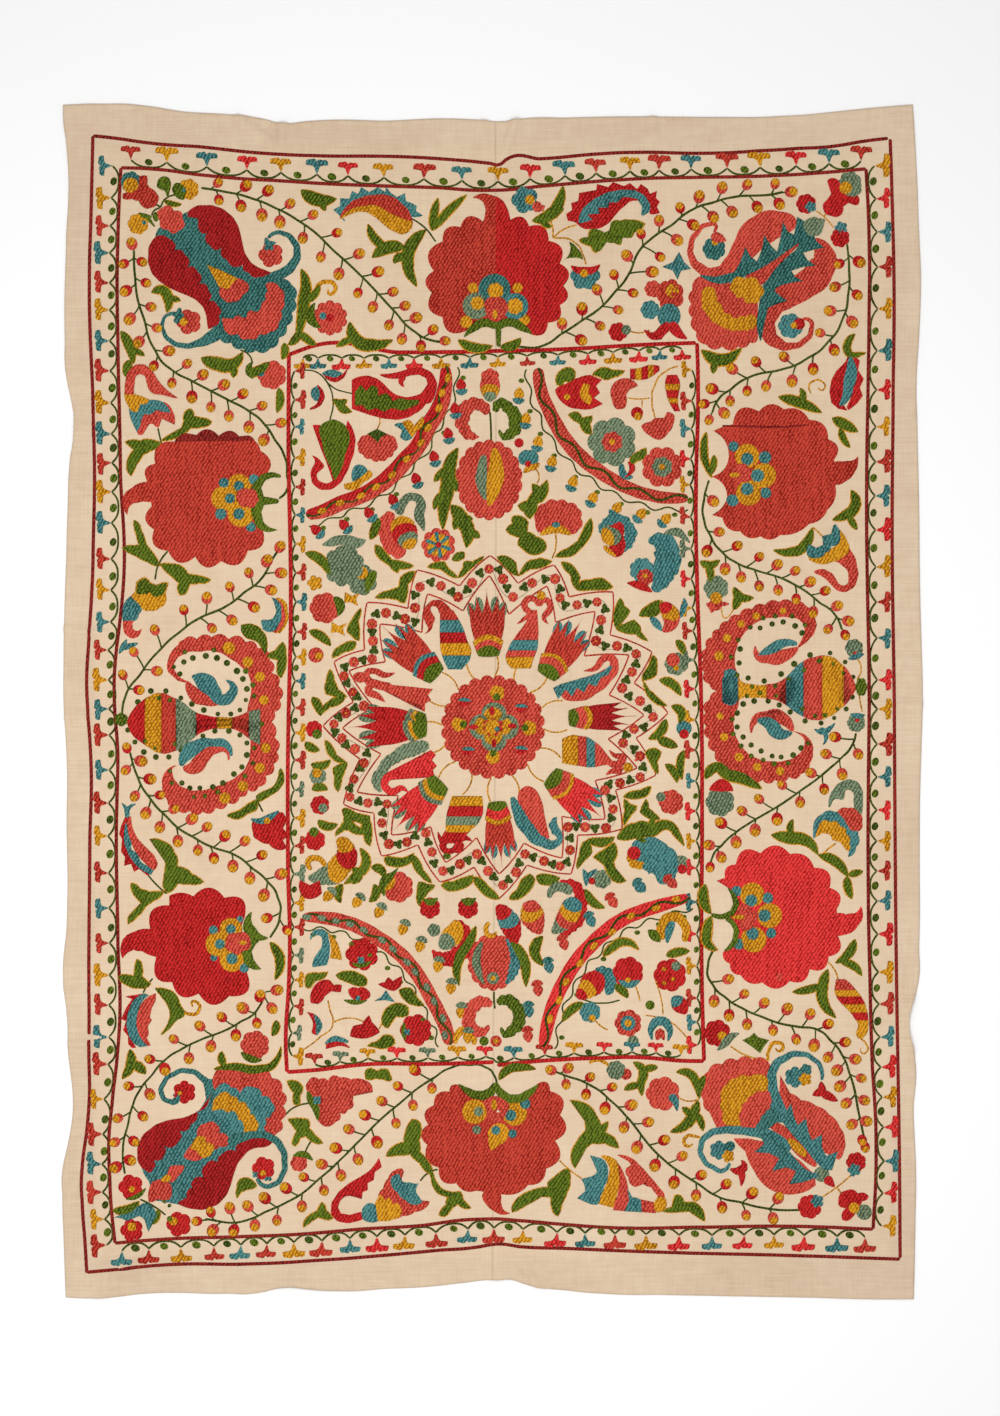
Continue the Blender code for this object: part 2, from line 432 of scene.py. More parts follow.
def ribbon(thread, marks, level=0, teeth=None, upTo=1.0, side="both"):
    # a strip of laid thread along a smooth curve: across it the places run as a sine from edge to
    # edge, and both ends are rounded. teeth is (length, depth) in squares, on one side or both.
    marks = marksOf(marks) if isinstance(marks, str) else marks
    size = chart["square"]
    length = np.linalg.norm(np.diff(marks[:, :2], axis=0), axis=1).sum() * upTo
    widest = marks[:, 2].max()
    step = np.clip(widest * 0.85, 1.4, sewing["longest"] / size)
    if teeth:
        step = teeth[0] / 6
    count = max(5, int(np.ceil(length / step)))
    places = np.linspace(0, upTo, count + 1)
    capStart = max(marks[0, 2], 0.2)
    capEnd = max(smoothLine(marks, np.array([upTo]))[0, 2], 0.2)
    if upTo < 1:
        capEnd *= 0.7
    share = np.array((0.0, 0.08, 0.3, 0.6))
    starts, ends = share * capStart / length * upTo, upTo - share * capEnd / length * upTo
    inner = places[(places > starts[-1] * 1.2) & (places < upTo - (upTo - ends[-1]) * 1.2)]
    places = np.concatenate((starts, inner, ends[::-1]))
    line = smoothLine(marks, places)
    half = np.maximum(line[:, 2], 0.12)
    fromStart, fromEnd = places / upTo * length, (1 - places / upTo) * length
    rounded = np.sqrt(1 - (1 - np.clip(fromStart / capStart, 0, 1)) ** 2)
    rounded = rounded * np.sqrt(1 - (1 - np.clip(fromEnd / capEnd, 0, 1)) ** 2)
    half = np.maximum(half * rounded, 0.05)
    right = left = half
    if teeth:
        saw = np.abs((fromStart / teeth[0]) % 1 - 0.5) * 2
        cut = half + teeth[1] * saw * np.clip(half / (0.5 * widest), 0, 1)
        right = cut if side in ("both", "right") else half
        left = cut if side in ("both", "left") else half
    points = onCloth(line)
    ahead = np.gradient(points, axis=0)
    ahead /= np.maximum(np.linalg.norm(ahead, axis=1), 1e-9)[:, None]
    leftward = np.column_stack((-ahead[:, 1], ahead[:, 0])) * size
    middle = marks[len(marks) // 2, :2]
    strip(thread, middle, points - leftward * right[:, None], points + leftward * left[:, None], level)


def strip(thread, where, rightEdge, leftEdge, level):
    # the faces between two edges that run side by side: across, the places are the sine of even
    # steps. Its underside and its two ends are closed.
    halves = np.linalg.norm(leftEdge - rightEdge, axis=1) / 2
    widest = halves.max()
    more = 2 if widest > 2 * chart["square"] else 0
    columns = max(2, 2 * int(np.ceil(widest / sewing["longest"])) + more)
    across = np.sin(np.linspace(-np.pi / 2, np.pi / 2, columns + 1))
    share = (across + 1) / 2
    flat = rightEdge[:, None, :] + (leftEdge - rightEdge)[:, None, :] * share[None, :, None]
    steps = np.linalg.norm(np.diff((leftEdge + rightEdge) / 2, axis=0), axis=1)
    along = np.concatenate(([0], np.cumsum(steps)))
    toEnd = np.minimum(along, along[-1] - along)[:, None]
    inset = np.minimum(halves[:, None] * (1 - np.abs(across[None, :])), toEnd)
    rows, wide = len(rightEdge), columns + 1
    first = (np.arange(rows - 1)[:, None] * wide + np.arange(columns)[None, :]).reshape(-1)
    top = np.column_stack((first, first + wide, first + wide + 1, first + 1))
    foot = np.arange(rows - 1) * wide
    under = np.column_stack((foot, foot + columns, foot + columns + wide, foot + wide))
    last = (rows - 1) * wide
    caps = [list(range(wide)), list(range(last + columns, last - 1, -1))]
    keep(thread, where, flat.reshape(-1, 2), inset.reshape(-1), level, top.tolist() + under.tolist() + caps)


def arcsThrough(marks, outward, fine):
    # the points of arcs from mark to mark, parabolas that stand out by a share of their length,
    # and the place of each mark among them
    points, corners = [], []
    for (x, y, out), (nextX, nextY, _) in zip(marks[:-1], marks[1:]):
        corners.append(len(points))
        chord = np.hypot(nextX - x, nextY - y)
        count = max(2 if abs(out) > 0.01 else 1, int(np.ceil(chord * (1 + abs(out)) / fine)))
        for t in np.arange(count) / count:
            bow = 4 * t * (1 - t) * out * outward
            points.append((x + (nextX - x) * t + (nextY - y) * bow, y + (nextY - y) * t - (nextX - x) * bow))
    return np.array(points + [tuple(marks[-1, :2])]), corners + [len(points)]


def between(thread, oneEdge, otherEdge, level=0, fine=2.6, grow=0.0):
    # a strip between two charted edges that run the same way. An edge is a smooth curve, or arcs
    # between its marks where one of them has its third number.
    edges = [marksOf(oneEdge, 0.0), marksOf(otherEdge, 0.0)]
    around = np.concatenate((edges[0], edges[1][::-1]))
    crossed = np.sum(around[:, 0] * np.roll(around[:, 1], -1) - around[:, 1] * np.roll(around[:, 0], -1))
    places, lines = [], []
    for edge, outward in zip(edges, (1, -1) if crossed > 0 else (-1, 1)):
        if edge[:, 2].any():
            line, corners = arcsThrough(edge, outward, fine)
        else:
            line, corners = smoothLine(edge, np.linspace(0, 1, 4 * len(edge)))[:, :2], []
        share = np.concatenate(([0], np.cumsum(np.linalg.norm(np.diff(line, axis=0), axis=1))))
        lines.append((line, share / share[-1], share[-1]))
        places += [share[corner] / share[-1] for corner in corners]
    count = int(np.ceil(max(lines[0][2], lines[1][2]) / fine))
    kept = [place for place in places if 0.3 / count < place < 1 - 0.3 / count]
    for place in np.linspace(0, 1, count + 1):
        if all(abs(place - other) > 0.45 / count for other in kept):
            kept.append(place)
    kept = np.array(sorted(set(kept)))
    kept = kept[np.concatenate(([True], np.diff(kept) > 0.12 / count))]
    kept[0], kept[-1] = 0, 1
    sides = [onCloth(np.column_stack([np.interp(kept, share, line[:, axis]) for axis in (0, 1)]))
             for line, share, _ in lines]
    if crossed > 0:
        sides.reverse()
    if grow:
        apart = sides[1] - sides[0]
        apart *= grow * chart["square"] / np.maximum(np.linalg.norm(apart, axis=1), 1e-6)[:, None]
        sides = [sides[0] - apart, sides[1] + apart]
    middle = (edges[0][len(edges[0]) // 2, :2] + edges[1][len(edges[1]) // 2, :2]) / 2
    strip(thread, middle, sides[0], sides[1], level)


def fill(thread, outline, level=0, pole=None):
    # laid thread inside an outline that can be seen whole from its pole: rings of it, each a little
    # smaller, down to the pole
    size = chart["square"]
    pole = outline.mean(axis=0) if pole is None else np.array(pole, float)
    rim = onCloth(outline)
    crossed = np.sum(rim[:, 0] * np.roll(rim[:, 1], -1) - rim[:, 1] * np.roll(rim[:, 0], -1))
    if crossed < 0:
        rim = rim[::-1]
    centre = onCloth(pole[None, :])[0]
    reach = np.linalg.norm(rim - centre, axis=1)
    typical = np.median(reach)
    if typical < 2.4 * sewing["edge"]:
        shares = np.array((1.0, 0.55))
    else:
        edge = sewing["edge"] / typical
        inner = max(1, int(np.ceil((typical - sewing["edge"]) / (sewing["longest"] * 1.15))))
        shares = np.concatenate(((1.0, 1 - edge * 0.4), np.linspace(1 - edge, 0, inner + 1)[:-1]))
    flat = (centre + (rim - centre)[None, :, :] * shares[:, None, None]).reshape(-1, 2)
    inset = ((1 - shares)[:, None] * reach[None, :]).reshape(-1)
    around, rings = len(rim), len(shares)
    here, onward = np.arange(around), np.roll(np.arange(around), -1)
    faces = []
    for ring in range(rings - 1):
        out, into = ring * around, (ring + 1) * around
        faces += np.column_stack((out + here, out + onward, into + onward, into + here)).tolist()
    inside = (rings - 1) * around
    flat = np.concatenate((flat, centre[None, :], centre[None, :]))
    inset = np.concatenate((inset, (typical,), (0.0,)))
    faces += np.column_stack((inside + here, inside + onward, np.full(around, len(flat) - 2))).tolist()
    faces += np.column_stack((onward, here, np.full(around, len(flat) - 1))).tolist()
    keep(thread, pole, flat, inset, level, faces)


def lobes(thread, text, level=0, bulge=0.33, pole=None, fine=3.3, grow=0.0):
    # a fill whose outline goes from notch to notch in arcs, parabolas that stand out by a share of
    # their length: the mark's own third number, or bulge
    marks = marksOf(text, bulge) if isinstance(text, str) else text
    crossed = np.sum(marks[:, 0] * np.roll(marks[:, 1], -1) - marks[:, 1] * np.roll(marks[:, 0], -1))
    outward = 1 if crossed > 0 else -1
    outline = []
    for (x, y, out), (nextX, nextY, _) in zip(marks, np.roll(marks, -1, axis=0)):
        chord = np.hypot(nextX - x, nextY - y)
        count = max(2 if abs(out) > 0.01 else 1, int(np.ceil(chord * (1 + abs(out)) / fine)))
        t = np.arange(count) / count
        bow = 4 * t * (1 - t) * out * outward
        outline.append(np.column_stack((x + (nextX - x) * t + (nextY - y) * bow,
                                        y + (nextY - y) * t - (nextX - x) * bow)))
    outline = np.concatenate(outline)
    ahead = np.roll(outline, -1, axis=0) - np.roll(outline, 1, axis=0)
    ahead /= np.maximum(np.linalg.norm(ahead, axis=1), 1e-6)[:, None]
    outline = outline + np.column_stack((ahead[:, 1], -ahead[:, 0])) * outward * grow
    fill(thread, outline, level, pole)


def bloom(thread, x, y, r, petals=0, depth=0.14, level=0, tall=1.0, tilt=0.0, fine=2.7):
    # a round flower: its radius dips between petals as the size of a sine does
    if r < 3:
        count = 8
    else:
        count = int(np.clip(2 * np.pi * r / fine, 10, 120))
    if petals:
        count = petals * max(4, int(np.ceil(count / petals)))
    angle = np.linspace(0, 2 * np.pi, count, endpoint=False)
    reach = np.full(count, float(r))
    if petals:
        reach = r * (1 - depth + depth * np.abs(np.sin(angle * petals / 2)) ** 0.7)
    turned = np.radians(tilt)
    alongX, alongY = reach * np.cos(angle), reach * np.sin(angle) * tall
    outline = np.column_stack((x + alongX * np.cos(turned) - alongY * np.sin(turned),
                               y + alongX * np.sin(turned) + alongY * np.cos(turned)))
    fill(thread, outline, level, (x, y))


def dots(thread, text, level=1):
    # small round fills: a mark is x,y,radius
    for x, y, r in marksOf(text):
        bloom(thread, x, y, r, level=level)


def stem(text, half=1.4, thread="vine", level=0):
    marks = marksOf(text)
    ribbon(thread, np.column_stack((marks[:, :2], np.full(len(marks), half))), level)


def leaf(text, half, thread="leaf", edge="ochre", level=1, start=0.35):
    # a leaf along a curve, widest before its middle, over a slightly larger one that shows as its edge
    marks = marksOf(text)
    steps = np.linalg.norm(np.diff(marks, axis=0), axis=1)
    share = np.concatenate(([0], np.cumsum(steps))) / steps.sum()
    places = np.linspace(0, 1, max(7, len(marks) * 2 + 1))
    line = smoothLine(np.column_stack((marks, np.zeros(len(marks)))), places)[:, :2]
    width = half * np.maximum(np.sin(np.pi * places ** 0.85), 0) ** 0.62
    width = np.maximum(width, start * (1 - places))
    if edge:
        ribbon(edge, np.column_stack((line, width + 0.85)), level - 1)
    ribbon(thread, np.column_stack((line, width * 0.94)), level)


def leaves(half, *texts, **named):
    for text in texts:
        leaf(text, half, **named)


def blade(oneEdge, otherEdge, thread="leaf", edge="ochre", level=1):
    # a leaf between two charted edges
    between(edge, oneEdge, otherEdge, level - 1, grow=0.9)
    between(thread, oneEdge, otherEdge, level)


def lobed(text, pole=None, thread="leaf", edge="ochre", level=1, bulge=0.1):
    # a leaf inside an outline of arcs
    lobes(edge, text, level - 1, bulge, pole, grow=0.9)
    lobes(thread, text, level, bulge, pole)


def slices(bands, oneEdge, otherEdge, level=1, axis=0):
    # a shape cut across into bands of thread at the given x, or y where axis is 1
    edges = [smoothLine(marksOf(text, 0.0), np.linspace(0, 1, 60)) for text in (oneEdge, otherEdge)]
    low = max(edge[:, axis].min() for edge in edges)
    for number, band in enumerate(bands.split()):
        thread, high = band.split(":")
        places = np.linspace(low, float(high) + 0.4, 7)
        sides = []
        for edge in edges:
            pairs = zip(places, np.interp(places, edge[:, axis], edge[:, 1 - axis]))
            sides.append(" ".join("%.1f,%.1f" % (pair if axis == 0 else pair[::-1]) for pair in pairs))
        between(thread, sides[0], sides[1], level + number % 2)
        low = float(high)


def tiers(text, bands, level=1, teeth=None):
    # a body in bands of thread: the whole of it in its tip's thread, and over that each shorter one
    for number, band in enumerate(bands.split()):
        thread, share = band.split(":")
        ribbon(thread, text, level + number, teeth=teeth, upTo=float(share))


# The lines that frame the cover, charted where they turn

lineLook = {"half": 2.0, "fieldHalf": 2.3}
outerTop = ("93,136 120,139 140,142 200,147 280,154.5 320,156 440,159 490,163.5 500,164.5 506,160 540,159 "
            "600,154 640,152.5 700,153.5 760,151 800,148.5 840,145.5 860,142 888,138.5")
outerRight = "890,139 892,200 893,400 892,520 894,690 895,840 897,1020 899,1140 900,1258"
outerBottom = ("87,1272 120,1269 160,1265 240,1264 320,1260 380,1255.5 440,1250 480,1246.5 495,1244 "
               "520,1246.5 560,1248 660,1252 780,1255 900,1259")
outerLeft = ("93,136 91,220 89.5,280 93,400 93.5,540 91.5,600 89,640 88,712 90,740 90,840 89,960 89,1050 "
             "87,1130 82.5,1165 82.5,1205 85,1240 87,1273")
innerTop = ("121,168 150,169 200,175 280,181 380,186 440,188 490,190.5 540,186.5 580,183 620,180 700,177.5 "
            "780,175.5 820,173 866,169")
innerRight = ("866,169 869,240 869,310 868,385 866.5,500 869,690 868,860 870,985 872,1060 876,1150 873,1229")
innerBottom = ("115,1243 150,1240 240,1236.5 320,1232.5 360,1229 420,1225.5 480,1219 520,1220.5 560,1224 "
               "700,1227 780,1226 873,1229")
innerLeft = ("121,168 118,240 118,340 120.5,470 119,630 116.5,650 118,760 116.5,830 118,940 117,1060 "
             "112.5,1100 110,1180 115,1243")
fieldTop = "289,355 295,352.5 400,352.5 500,351 580,348.5 640,345 696,343"
fieldRight = "697,343 698,385 696,480 697,580 701,695 702,820 703,1030 704,1061"
fieldBottomLeft = "287,1072 320,1069.5 370,1064 420,1064 494,1062"
fieldBottomRight = "497,1065 560,1059.5 600,1058 645,1057.5 680,1060.5 704,1061"
fieldLeft = "289,355 288.5,440 290.5,640 289,700 288,860 288,1000 286,1030 287,1072"


def frameLines():
    for text in (outerTop, outerRight, outerBottom, outerLeft, innerTop, innerRight, innerBottom, innerLeft):
        stem(text, lineLook["half"], "wine")
    for text in (fieldTop, fieldRight, fieldBottomLeft, fieldBottomRight, fieldLeft):
        stem(text, lineLook["fieldHalf"], "crimson")


# The narrow guard borders: a scalloped vine, a flower at each of its peaks and a bud at each trough

guard = {
    "flowerOut": 17.8,    # from the line to the middle of a flower
    "peakOut": 8.5,       # from the line to where the vine meets a flower
    "troughOut": 1.6,
    "budOut": 6.6, "budSize": 3.3,
    "half": 1.6,
    "scale": 1.04,
}
innerGuard = {"flowerOut": 12.4, "peakOut": 6.0, "troughOut": 2.6, "budOut": 6.3, "budSize": 2.7,
              "half": 1.5, "scale": 0.84}
shortNames = {"r": "madder", "o": "ochre", "b": "blue", "c": "bright", "g": "sage"}
# a guard flower, upright with its foot at 0,0: x, y and how far each side bows
guardFlower = np.array(((-1.3, 1, 0), (1.3, 1, -0.06), (3.2, -4.4, -0.1), (10.6, -5.4, 0.35),
                        (4.6, -10.4, 0.25), (-0.6, -9.2, 0.3), (-6, -11.4, 0.35), (-11, -6, -0.1),
                        (-3.4, -4.2, -0.06)))


def guardBorder(line, flowers, outX, outY, look):
    # the vine's height over its line is a bowl between two peaks
    line = marksOf(line)
    axis = 0 if outY else 1
    spots = [(float(word[:-1]), shortNames[word[-1]]) for word in flowers.split()]
    out = np.array((outX, outY), float)
    along = np.array((abs(outY), abs(outX)), float)

    def at(place, lift):
        other = np.interp(place, line[:, axis], line[:, 1 - axis])
        spot = np.array((place, other)) if axis == 0 else np.array((other, place))
        return spot + out * lift

    for number, (place, thread) in enumerate(spots):
        peak = at(place, look["peakOut"])
        scale = look["scale"] * draws.uniform(0.9, 1.08)
        lean = draws.normal(0, 0.09)
        flat = guardFlower.copy()
        flat[:, 0] += flat[:, 1] * lean
        foot = at(place, look["flowerOut"] - 6 * look["scale"])
        shape = np.column_stack((flat[:, :2] * scale, flat[:, 2]))
        turned = foot + np.outer(shape[:, 0], along) - np.outer(shape[:, 1], out)
        lobes(thread, np.column_stack((turned, shape[:, 2])), pole=foot + out * 4.6 * scale, fine=2.2)
        ribbon(thread, np.array(((*peak, 0.8), (*(foot + out), 1.1))), 0)
        if number + 1 < len(spots):
            onward = spots[number + 1][0]
            t = np.linspace(0, 1, 9)
            bowl = np.abs(2 * t - 1) ** 2.6
            lifts = look["troughOut"] + (look["peakOut"] - look["troughOut"]) * bowl
            arc = np.array([at(place + (onward - place) * share, lift) for share, lift in zip(t, lifts)])
            ribbon("vine", np.column_stack((arc, np.full(len(arc), look["half"]))), 0)
            middle = place + (onward - place) * (0.5 + draws.normal(0, 0.03))
            size = look["budSize"]
            x, y = at(middle, look["budOut"])
            bloom("leaf" if number % 3 else "vine", x, y, size * draws.uniform(1.3, 1.5), tall=0.8,
                  tilt=90 * abs(outX) + 20)


def guardBorders():
    guardBorder(innerTop, "131r 167o 207b 247c 281o 317b 348c 384o 424r 462b 498o 530c 565b 596r 630o 659r "
                "691b 727r 760o 796c 829b 861r", 0, -1, guard)
    guardBorder(innerRight, "166o 199c 232b 267r 309o 351b 390c 427o 462r 496b 530c 567o 602r 638b 680c "
                "709o 744r 777b 810c 841o 871r 901b 934c 972o 1004r 1037b 1067c 1097o 1127c 1161b "
                "1193c 1226o", 1, 0, guard)
    guardBorder(innerBottom, "122b 149r 181o 214r 241b 267r 294o 322r 350b 377c 405o 436r 468b 494r "
                "523o 557c 585b 615r 646o 679c 712b 744c 774o 804c 837b 865r", 0, 1, guard)
    guardBorder(innerLeft, "166b 198o 226r 253b 283r 310o 341b 371r 403o 434b 463r 492o 523b 559r 590o 622b "
                "650r 680o 709b 735r 770b 803r 836o 873r 908b 943r 975o 1005r 1037b 1064r 1099o 1134r 1164b "
                "1192r 1219o 1245r", -1, 0, guard)
    guardBorder(fieldTop, "303o 318b 342c 364o 389b 414c 441o 470b 498o 527r 558b 588c 613o 639c 660b 682c",
                0, 1, innerGuard)
    guardBorder(fieldLeft, "371r 400r 427b 458o 487r 515b 544o 573r 602b 632r 657o 681b 708r 733o 760r 790g "
                "818o 846r 874g 903o 927r 955g 980o 1006r 1033g 1056o", 1, 0, innerGuard)
    guardBorder(fieldRight, "370o 401r 429b 459c 485o 517r 549g 579c 608o 631r 660g 689c 720o 750r 781b 811c "
                "841o 868c 902b 934c 966o 998r 1022b 1045c", -1, 0, innerGuard)
    guardBorder(fieldBottomLeft + " " + fieldBottomRight, "315r 340g 368o 397c 428g 458o 486c 514b 545r 574o "
                "604c 632b 656c 681o", 0, -1, innerGuard)


# Sprays of berries that join the border's large motifs

berryLook = {"half": 1.8, "twigHalf": 1.3, "size": 5.5, "reach": 8.5}


def spray(line, berries):
    # each twig leaves the stem before its berry and bends out to it. A berry is a rose cup with an
    # ochre top, away from the twig.
    marks = marksOf(line)
    stem(line, berryLook["half"])
    fine = smoothLine(np.column_stack((marks, np.zeros(len(marks)))), np.linspace(0, 1, 160))[:, :2]
    length = np.linalg.norm(np.diff(fine, axis=0), axis=1).sum()
    for x, y in marksOf(berries):
        berry = np.array((x, y))
        nearest = np.argmin(np.linalg.norm(fine - berry, axis=1))
        gap = np.linalg.norm(fine[nearest] - berry)
        size = berryLook["size"] * draws.uniform(0.88, 1.12)
        if gap > 5:
            back = int(min(gap * 0.75, berryLook["reach"]) / length * 160)
            joint = fine[max(nearest - back, 0)]
            bend = joint + (fine[nearest] - joint) * 0.1 + (berry - joint) * 0.5
            twig = np.array((joint, bend, berry))
            ribbon("vine", np.column_stack((twig, np.full(3, berryLook["twigHalf"]))), 0)
            away = berry - bend
        else:
            away = fine[min(nearest + 4, 159)] - fine[max(nearest - 4, 0)]
            away = away if nearest > 80 else -away
        away = away / max(np.linalg.norm(away), 1e-6)
        tilt = np.degrees(np.arctan2(away[1], away[0]))
        body = "rose" if draws.uniform() < 0.6 else "crimson"
        bloom(body, x, y, size * 1.12, level=1, tall=0.86, tilt=tilt, fine=2.8)
        top = berry + away * size * 0.4
        bloom("ochre", top[0], top[1], size * 0.74, level=2, tall=1.05, tilt=tilt, fine=2.8)


def sprays():
    spray("201,188 225,192 253,199 275,208 297,220 335,252 358,273 395,312 415,332 430,340 447,342",
          "218,183 219,200 246,186 241,206 268,191 262,215 290,204 280,222 313,215 303,238 337,233 321,257 "
          "359,254 339,274 378,272 358,293 393,292 373,307 405,306 389,325 416,318 402,339 433,330 421,346 "
          "445,341")
    spray("134,250 135,275 145,322 155,350 172,370 190,380 230,401 250,412 265,425 275,440 284,455 287,475 "
          "287,490 279,499",
          "132,244 124,264 142,262 126,291 146,283 151,307 130,319 157,328 139,342 169,351 154,366 187,364 "
          "203,375 172,383 224,385 192,397 243,394 211,407 262,406 229,416 249,427 281,423 264,440")
    spray("518,347 545,345 560,335 580,322 615,292 630,272 640,250 650,240 672,225 692,210 712,203 735,197 "
          "775,194 783,192",
          "562,324 582,309 581,340 600,326 597,290 618,310 614,275 633,293 627,256 652,272 641,234 660,257 "
          "659,221 677,240 680,208 693,225 699,197 713,217 722,188 732,212 747,185 757,207 775,184 779,204 "
          "791,192")
    spray("847,244 849,270 848,295 842,320 828,342 808,358 780,370 750,377 730,390 718,400 712,413",
          "839,264 859,262 835,287 857,295 830,311 852,322 820,333 834,350 813,369 784,357 792,381 756,362 "
          "766,386 732,369 747,391 712,389 730,401 704,404 724,413 709,420")
    spray("122,715 125,698 140,675 160,650 180,632 200,618 225,607 245,592 262,578 272,560 280,548",
          "280,547 267,561 249,573 281,573 230,587 271,590 207,598 254,607 184,610 232,620 155,630 212,628 "
          "134,652 157,671 123,675 139,690")
    spray("130,752 137,775 150,798 165,815 195,838 215,848 235,855 252,868 268,882 278,898 280,915 270,938",
          "127,748 141,761 126,770 150,779 135,796 160,795 146,813 174,809 160,827 192,819 178,841 207,827 "
          "198,850 225,836 214,858 245,841 233,866 262,855 250,878 281,874 264,895 267,918 287,930")
    spray("265,992 259,1007 240,1022 200,1040 180,1050 165,1060 152,1075 140,1090 133,1105 128,1125 "
          "123,1150 125,1174",
          "277,990 260,996 272,1008 243,1008 257,1023 222,1017 236,1035 200,1026 211,1046 174,1039 189,1058 "
          "150,1059 165,1069 129,1086 150,1094 118,1118 143,1116 115,1142 134,1141 116,1167 130,1160")
    spray("497,1088 494,1075 485,1067 470,1065 450,1068 435,1077 400,1103 360,1140 340,1160 320,1178 "
          "285,1203 265,1212 250,1219 205,1219",
          "415,1070 432,1088 398,1086 413,1105 382,1101 396,1123 365,1115 377,1142 349,1129 358,1159 "
          "336,1148 341,1175 322,1164 324,1190 304,1177 302,1206 286,1188 277,1220 265,1198 255,1225 "
          "248,1206 234,1230 230,1208 213,1230 211,1212 197,1221")
    spray("551,1070 567,1076 590,1085 610,1100 628,1118 662,1158 680,1172 700,1185 715,1195 740,1202 "
          "765,1208 803,1210",
          "551,1070 568,1068 566,1084 590,1077 586,1094 612,1087 605,1108 631,1105 624,1127 648,1122 "
          "637,1147 664,1140 655,1165 682,1156 674,1182 701,1175 696,1195 726,1184 722,1207 752,1193 "
          "746,1215 778,1198 773,1218")
    spray("709,480 704,500 704,520 710,535 722,552 735,562 755,570 795,585 820,603 835,615 842,630",
          "713,501 719,532 707,551 737,546 725,569 759,557 741,577 777,565 795,571 759,586 778,590 810,582 "
          "796,599 825,591 813,612 837,606 848,621 828,629 845,635")
    spray("856,733 852,745 842,757 830,768 800,791 783,803 748,824 735,833 722,845 712,858 710,866",
          "835,737 858,754 826,754 842,774 811,773 824,789 782,785 800,802 759,799 777,819 742,811 755,830 "
          "721,823 736,842 709,845 721,857 710,867")
    spray("713,950 708,965 713,985 725,997 742,1008 760,1016 800,1027 818,1030 830,1040 842,1055 849,1072 "
          "858,1110 864,1138",
          "728,979 714,1001 744,994 729,1015 764,1003 747,1024 787,1009 773,1030 810,1014 796,1039 828,1024 "
          "814,1045 845,1042 828,1057 855,1059 837,1070 861,1078 840,1086 864,1100 846,1103 866,1121 "
          "852,1124 862,1140 865,1147")


# The six large flowers, each with an ochre heart

def ring(x, y, r, dot, thread="ochre", eye="blue", tall=1.0, eyeX=0.0, eyeY=0.0):
    bloom(thread, x, y, r, level=1, tall=tall)
    bloom(eye, x + eyeX, y + eyeY, dot, petals=7, depth=0.12, level=2)


